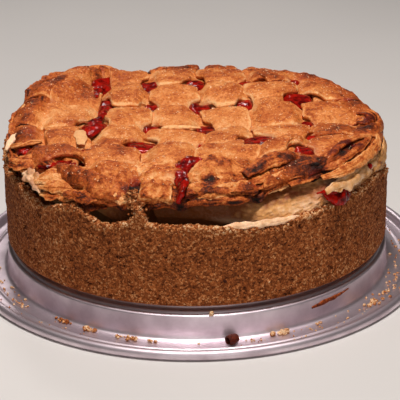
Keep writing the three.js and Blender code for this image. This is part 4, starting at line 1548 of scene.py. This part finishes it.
CHERRY_RUNS = (
    Flap("cherry_run_front", (
        (-8, -78, 85.8, 1.8, 1.0, 0), (-8.6, -85, 87.4, 3.2, 1.6, 5), (-7.6, -92, 87.2, 3.8, 1.9, 20),
        (-7.2, -99, 85.6, 3.4, 1.9, 42), (-8.4, -105.4, 82.4, 3.6, 1.8, 62),
        (-9.2, -107.8, 80.2, 2.6, 1.4, 72), (-9.6, -108.4, 78.8, 1.0, 0.8, 78),
    ), 0.5, 0.16, 0.0, 1.0),
    Flap("cherry_blob_front", (
        (-13, -79, 83.2, 1.6, 1.0, 0), (-9, -76.4, 85.6, 4.6, 1.9, 10), (-3, -72.4, 87.2, 5.6, 2.4, 14),
        (2.4, -68.4, 87.4, 3.6, 1.8, 10), (6, -65.6, 85.8, 1.2, 1.0, 0),
    ), 0.5, 0.12, 0.0, 1.2),
    Flap("cherry_wedge_back", (
        (-58, 84, 86.6, 2.2, 1, 0), (-58.6, 76, 87.4, 4.6, 1.6, 0), (-60, 66, 87.2, 4.4, 1.6, 0),
        (-60.8, 56, 87.6, 3.4, 1.4, 0), (-61, 47, 88.6, 2.4, 1.1, 0), (-60.8, 40, 88.4, 0.9, 0.7, 0),
    ), 0.5, 0.14, 0.0, 1.4),
    Flap("cherry_channel_left", (
        (-52.4, 36, 84.4, 1.0, 0.8, 0), (-53.4, 28, 85.6, 1.6, 1.0, 0), (-55, 18, 86.2, 1.8, 1.1, 0),
        (-57, 8, 85.8, 2.6, 1.3, 0), (-60, 0, 85.2, 4.6, 1.6, 0), (-60, -8, 85.8, 5.2, 1.5, 0),
        (-61, -15, 85.4, 3.8, 1.2, 0), (-62, -20, 84.6, 1.2, 0.8, 0),
    ), 0.5, 0.2, 0.0, 1.2),
    Flap("cherry_run_right", (
        (69.0, -88.8, 75.6, 1.6, 1.0, 50), (72.4, -86.6, 74.2, 4.2, 2.2, 56),
        (76.8, -83.2, 72.4, 5.8, 3.2, 60), (81, -79.4, 71, 5.0, 2.6, 64), (84.4, -76, 70, 1.8, 1.0, 66),
    ), 0.5, 0.1, 0.0, 0.9),
    Flap("cherry_streak_right", (
        (65, -92.4, 77.2, 0.5, 0.4, 50), (69.4, -89.4, 76.9, 0.9, 0.6, 60), (75, -86, 75.8, 1.3, 0.9, 60),
        (78, -84, 74.6, 0.8, 0.6, 60),
    ), 0.5, 0.3, 0.0, 1.0),
    Flap("cherry_bit_right", (
        (94.6, -60.5, 78.4, 0.8, 0.7, 50), (97, -57.6, 78.8, 2.0, 1.5, 60), (98.4, -55, 79, 0.8, 0.7, 50),
    ), 0.5, 0.2, 0.0, 0.8),
    Flap("cherry_left", (
        (-103, -31, 78.8, 1.4, 1, 0), (-98, -32, 80, 4.4, 2, 0), (-91, -32, 80.8, 1.6, 1, 0),
    ), 0.5, 0.14, 0.0, 1.6),
    Flap("cherry_dark_left", (
        (-88, -55, 79.6, 1, 0.8, 0), (-82, -57, 81.2, 3.6, 1.2, 0), (-75, -56.4, 82.0, 4.0, 1.2, 0),
        (-67, -56, 81.8, 1.2, 0.6, 0),
    ), 0.5, 0.14, 0.0, 1.0),
)


@dataclass
class DoughFold:
    """One flap swept along its own line."""

    flap: Flap
    rows: int = 110
    columns: int = 56

    def build(self, material: bpy.types.Material, slot: str) -> bpy.types.Object:
        """Sweeps an ellipse along the flap's line and roughens it.

        Ridges that run along the flap make it flaky, rounded noise makes it lumpy, and its outer edge
        wavers in width.
        """
        flap = self.flap
        line = smooth_line(np.array(flap.keys, float), self.rows)
        middle, width, thickness = line[:, :3], np.maximum(line[:, 3], 0.3), np.maximum(line[:, 4], 0.25)
        tilt = np.radians(line[:, 5])[:, None]
        tangent = unit(np.gradient(middle, axis=0))
        side = unit(np.cross(tangent, np.array([0.0, 0.0, 1.0])))
        upward = np.cross(side, tangent)
        cos, sin = np.cos(tilt), np.sin(tilt)
        side, upward = side * cos - upward * sin, upward * cos + side * sin
        angle = np.linspace(0, TURN, self.columns, endpoint=False)[None]
        seed = 700 + 3 * sum(flap.name.encode())
        run = np.concatenate([[0.0], np.cumsum(np.linalg.norm(np.diff(middle, axis=0), axis=1))])
        wavers = [2 * flap.ragged * soft_noise(on_line(run), 4, seed + k, 3)[:, None] for k in (0, 9)]
        reach = 1 + np.where(np.cos(angle) > 0, *wavers)
        over = width[:, None] * np.cos(angle) * reach
        rise = thickness[:, None] * np.sign(np.sin(angle)) * np.abs(np.sin(angle)) ** 0.8
        net = middle[:, None] + side[:, None] * over[..., None] + upward[:, None] * rise[..., None]
        strand = np.stack([run[:, None] * 0.3 + 0 * over, over, rise], axis=-1)
        crack = bell(soft_noise(strand * np.array([0.4, 1.0, 1.0]), 2.8, seed + 3, 2), 0.11)
        ridges = 0.5 - 1.3 * crack
        lump = soft_noise(net, 4.2, seed + 5, 4)
        inward = np.minimum(1.0, thickness / thickness.max())[:, None]
        relief = (flap.layered * ridges + 1.5 * flap.lumpy * lump) * inward
        net = net + unit(net - middle[:, None]) * relief[..., None]
        top = np.sin(angle)
        tip = np.abs(np.cos(angle)) ** 6
        under = smoothstep(-0.1, -0.5, top)
        # Painted shade and light: the cracks between the layers and the underside of each flap are made
        # darker, the top a little lighter as if lit from above, and the tips paler.
        bake = flap.bake + 0.3 * crack * min(1.0, 2 * flap.layered) + 0.2 * lump
        bake = bake - 0.06 * top - 0.2 * tip * (0.7 + top) + 0.3 * under
        bake = bake + spotted(SCORCHES_AND_SHADE, net[..., 0], net[..., 1]) * (0.8 + 0.4 * lump)
        wet = np.clip(flap.wet * (1 + 1.5 * lump), 0, 1)
        masks = {"bake": bake, "juice": wet, "toast_and_shade": bake + 0.16, "cream": 0.34 - bake}
        stock = Stock()
        stock.add_net(net, Ends.CAPPED, masks)
        return dress(stock.object(flap.name), material)


@dataclass(frozen=True)
class CrumbPile:
    """Crumbs that fell on the tin: where, over how far round and across, how many and how big."""

    bearing: float
    radius: float
    round_deg: float
    across: float
    count: int
    size: float
    light: float


CRUMB_PILES = tuple(CrumbPile(*row) for row in (
    (-129.5, 118.6, 1.5, 1.0, 20, 1.3, 0.6), (-121, 118.8, 1.1, 1.0, 14, 1.4, 0.8),
    (-107.5, 119.2, 0.9, 1.3, 12, 1.2, 0.85), (-111, 118.8, 0.8, 0.8, 5, 1.0, 0.85),
    (-102.5, 119.6, 0.7, 0.8, 5, 1.1, 0.85), (-155, 124, 9, 4, 26, 0.8, 0.95),
    (-146, 122, 2.5, 1.5, 14, 0.9, 0.95), (-125, 127, 10, 3, 14, 0.7, 0.95),
    (-67, 118.8, 1.0, 1.0, 8, 2.0, 0.98), (-76, 120.5, 2.4, 1.8, 12, 0.7, 0.95),
    (-56, 119.2, 0.7, 0.8, 5, 1.1, 0.98), (-54, 123, 10, 3.6, 34, 0.6, 0.98),
    (-37, 124.5, 1.2, 1.4, 12, 1.4, 0.9), (-30, 125, 1.4, 1.8, 9, 1.2, 0.86),
    (-24, 125, 4, 3, 18, 0.9, 0.86), (-10, 124, 7, 4, 20, 0.9, 0.86), (4, 125, 5, 4, 12, 0.9, 0.86),
    (40, 124, 30, 4, 22, 0.8, 0.86), (110, 124, 60, 4, 30, 0.8, 0.86),
))


@dataclass
class TinCrumbs:
    """Crumbs, a dark shrivelled bit and a smear of juice on the tin."""

    brim: float = 1.0
    brim_radii: tuple[float, float] = (118.2, 132.0)
    dark_points: tuple[int, int] = (60, 40)  # along and round the dark bit
    smear_keys: tuple[tuple[float, float, float, float, float, float], ...] = (
        (63.3, -96.4, 10.2, 0.6, 0.3, 88), (68.3, -92.9, 10.8, 1.3, 0.4, 88),
        (74.9, -87.7, 11.4, 1.0, 0.4, 88), (80.4, -82.7, 12, 1.1, 0.4, 88), (85.4, -77.5, 12.4, 0.5, 0.3, 88),
    )

    def build(self, crumbs: bpy.types.Material) -> bpy.types.Object:
        """Strews the piles, with a normal spread round and across, and sets one crumb on the step."""
        random = np.random.default_rng(31)
        places, sizes, lights = [np.array([[7.5, -113.8, 16.4]])], [np.array([1.8])], [np.array([0.98])]
        for pile in CRUMB_PILES:
            angle = np.radians(random.normal(pile.bearing, pile.round_deg, pile.count))
            radius = np.clip(random.normal(pile.radius, pile.across, pile.count), *self.brim_radii)
            size = pile.size * random.uniform(0.5, 1.1, pile.count)
            places.append(polar(radius, angle, self.brim + 0.7 * size))
            sizes.append(size)
            lights.append(np.full(pile.count, pile.light))
        stock = scatter(np.concatenate(places), np.concatenate(sizes), 32, np.concatenate(lights))
        return dress(stock.object("tin_crumbs", False), crumbs)

    def build_smear(self, material: bpy.types.Material) -> bpy.types.Object:
        """Builds the dried smear of juice on the tin's wall, a thin broken film along its own line."""
        smear = Flap("dried_smear", self.smear_keys, 0.8, 0.3, 0.0, 0.3)
        return DoughFold(smear, 80, 24).build(material, "pastry")

    def build_dark_bit(self, material: bpy.types.Material) -> bpy.types.Object:
        """Builds the shrivelled bit: a short roll, hollow at its left end, as rings along its own line."""
        along = np.array([1.2, 1.0, -2.6, -3.2, -3.0, -1.0, 1.0, 2.4, 3.2, 3.4])
        radius = np.array([0.2, 1.3, 1.9, 2.2, 2.6, 2.8, 2.8, 2.5, 1.6, 0.2])
        rows, columns = self.dark_points
        angle = np.linspace(0, TURN, columns, endpoint=False)[None]
        lines = smooth_line(np.stack([along, radius], axis=-1), rows)
        place, size = lines[:, :1], np.maximum(lines[:, 1:], 0.1)
        net = [np.broadcast_to(place, (rows, columns)), size * np.cos(angle), size * 0.95 * np.sin(angle)]
        turn = math.radians(34)
        cos, sin = math.cos(turn), math.sin(turn)
        net = np.stack(net, axis=-1) @ np.array([[cos, sin, 0], [-sin, cos, 0], [0, 0, 1.0]])
        net = net * (1 + 0.12 * soft_noise(net, 2.0, 81, 3))[..., None]
        net = net + np.array([18.6, -119.8, self.brim + 2.7])
        stock = Stock()
        dark = np.full(net.shape[:2], 0.78)
        stock.add_net(net, Ends.CAPPED, {"bake": dark, "juice": 0 * dark + 0.15})
        return dress(stock.object("dark_bit"), material)


@dataclass
class SugarStrewing:
    """Grains of coarse sugar on top of the lattice."""

    form: PieForm
    count: int = 2200
    radius: float = 104.0
    above: float = 0.2  # metres, the height from which the rays start

    def build(self, material: bpy.types.Material) -> bpy.types.Object:
        """Strews grains where a ray from above first meets the dough."""
        random = np.random.default_rng(41)
        radius = self.radius * np.sqrt(random.uniform(0, 1, self.count))
        angle = random.uniform(0, TURN, self.count)
        x, y = radius * np.cos(angle), radius * np.sin(angle)
        depsgraph = bpy.context.evaluated_depsgraph_get()
        strips = [o for o in bpy.context.scene.objects if o.name.startswith("strip_")]
        height = np.full(self.count, -1.0)
        for strip in strips:
            tree = strip.evaluated_get(depsgraph)
            for k in range(self.count):
                start = Vector((x[k] * MM, y[k] * MM, self.above))
                hit, place, _, _ = tree.ray_cast(start, Vector((0, 0, -1)))
                if hit:
                    height[k] = max(height[k], place.z / MM)
        on = height > 0
        places = np.stack([x, y, height + 0.1], axis=-1)[on]
        stock = scatter(places, random.uniform(0.16, 0.4, on.sum()), 43)
        return dress(stock.object("sugar_grains", False), material)


# ---- stage -------------------------------------------------------------------------------------


@dataclass(frozen=True)
class SoftLight:
    """One square soft light that faces the pie: place and size in metres, power in watts."""

    name: str
    place: tuple[float, float, float]
    size: float
    power: float
    colour: str = "#fffaf6"
    target: tuple[float, float, float] = (0.0, 0.0, 0.06)

    def build(self) -> None:
        """Adds the light."""
        data = bpy.data.lights.new(self.name, "AREA")
        data.shape, data.size, data.energy = "SQUARE", self.size, self.power
        data.color = linear(self.colour)[:3]
        lamp = bpy.data.objects.new(self.name, data)
        bpy.context.scene.collection.objects.link(lamp)
        lamp.location = self.place
        lamp.rotation_euler = (Vector(self.target) - Vector(self.place)).to_track_quat("-Z", "Y").to_euler()


@dataclass(frozen=True)
class Studio:
    """A pale floor, soft lights and the camera. Its lengths are metres."""

    elevation_deg: float = 23.53
    distance: float = 0.9078
    focus_height: float = 0.02185
    turn_deg: float = 0.739
    aim_right_deg: float = 0.141
    aim_up_deg: float = 0.791
    lens_mm: float = 133.7
    sensor_mm: float = 36.0
    clip: tuple[float, float] = (0.01, 20.0)
    floor_half_mm: float = 4000.0
    room: str = "#d8d2cc"
    room_strength: float = 0.06
    paper: StudioPaper = field(default_factory=StudioPaper)
    lights: tuple[SoftLight, ...] = (
        SoftLight("key", (0.03, -0.24, 1.03), 0.17, 10.1),
        SoftLight("back", (-0.2, 0.75, 0.75), 0.14, 1.8),
        SoftLight("front", (0.16, -1.3, 0.5), 0.9, 3.6),
    )

    def camera(self) -> None:
        """Places the camera at the viewing angle, turned a little about its own axis."""
        data = bpy.data.cameras.new("camera")
        data.lens, data.sensor_width = self.lens_mm, self.sensor_mm
        data.clip_start, data.clip_end = self.clip
        camera = bpy.data.objects.new("camera", data)
        bpy.context.scene.collection.objects.link(camera)
        tilt = math.radians(self.elevation_deg)
        forward = Vector((0.0, math.cos(tilt), -math.sin(tilt)))
        right, up = Vector((1.0, 0.0, 0.0)), Vector((0.0, math.sin(tilt), math.cos(tilt)))
        camera.location = Vector((0.0, 0.0, self.focus_height)) - forward * self.distance
        aside, upward = (math.tan(math.radians(turn)) for turn in (self.aim_right_deg, self.aim_up_deg))
        back = -(forward + right * aside + up * upward).normalized()
        turn = math.radians(self.turn_deg)
        level = right * math.cos(turn) - up * math.sin(turn)
        side = (level - back * level.dot(back)).normalized()
        top = back.cross(side)
        camera.matrix_world = Matrix(
            [[side[k], top[k], back[k], camera.location[k]] for k in range(3)] + [[0.0, 0.0, 0.0, 1.0]]
        )
        bpy.context.scene.camera = camera

    def floor(self) -> None:
        """Makes the pale floor, a wide flat sheet."""
        stock = Stock()
        corners = np.array([(-1, -1, 0), (1, -1, 0), (1, 1, 0), (-1, 1, 0)], float) * self.floor_half_mm
        stock.add(corners, np.array([[0, 1, 2, 3]]), np.zeros((0, 3), int), {})
        floor = stock.object("floor")
        floor.data.materials.append(self.paper.material())

    def build(self) -> None:
        """Sets the stage: camera, floor, a key light from above, two fills and a dim room."""
        self.camera()
        self.floor()
        for light in self.lights:
            light.build()
        world = bpy.data.worlds.new("room")
        world.use_nodes = True
        background = world.node_tree.nodes["Background"]
        background.inputs["Color"].default_value = linear(self.room)
        background.inputs["Strength"].default_value = self.room_strength
        bpy.context.scene.world = world
        bpy.context.scene.view_settings.view_transform = "Standard"


def main() -> None:
    """Builds the stage and every piece, in the order in which they lie."""
    logging.basicConfig(level=logging.INFO, format="%(name)s %(message)s")
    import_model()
    form = PieForm()
    Studio().build()
    SpringformBase().build()
    crumbs = PressedCrumbs().material()
    cheese = BakedCheese().material()
    gel = CherryGel().material()
    pastry = BakedPastry().material()
    wall = CrumbWall(form)
    wall.build(crumbs)
    wall.build_loose(crumbs)
    wall.build_bridge(crumbs)
    CheeseLayer(form).build(cheese)
    CherryLayer(form).build(gel)
    PastryRim(form).build(pastry)
    for way in Way:
        for number in range(LatticeStrip.count):
            LatticeStrip(form, way, number).build(pastry)
    heaps = ((FLAPS, pastry, "pastry"), (CHEESE_LUMPS, cheese, "cheese"), (CHERRY_RUNS, gel, "cherry"))
    for flaps, material, slot in heaps:
        for flap in flaps:
            DoughFold(flap).build(material, slot)
    tin = TinCrumbs()
    tin.build(crumbs)
    tin.build_dark_bit(pastry)
    tin.build_smear(pastry)
    SugarStrewing(form).build(SugarGrain().material())


if __name__ == "__main__":
    main()
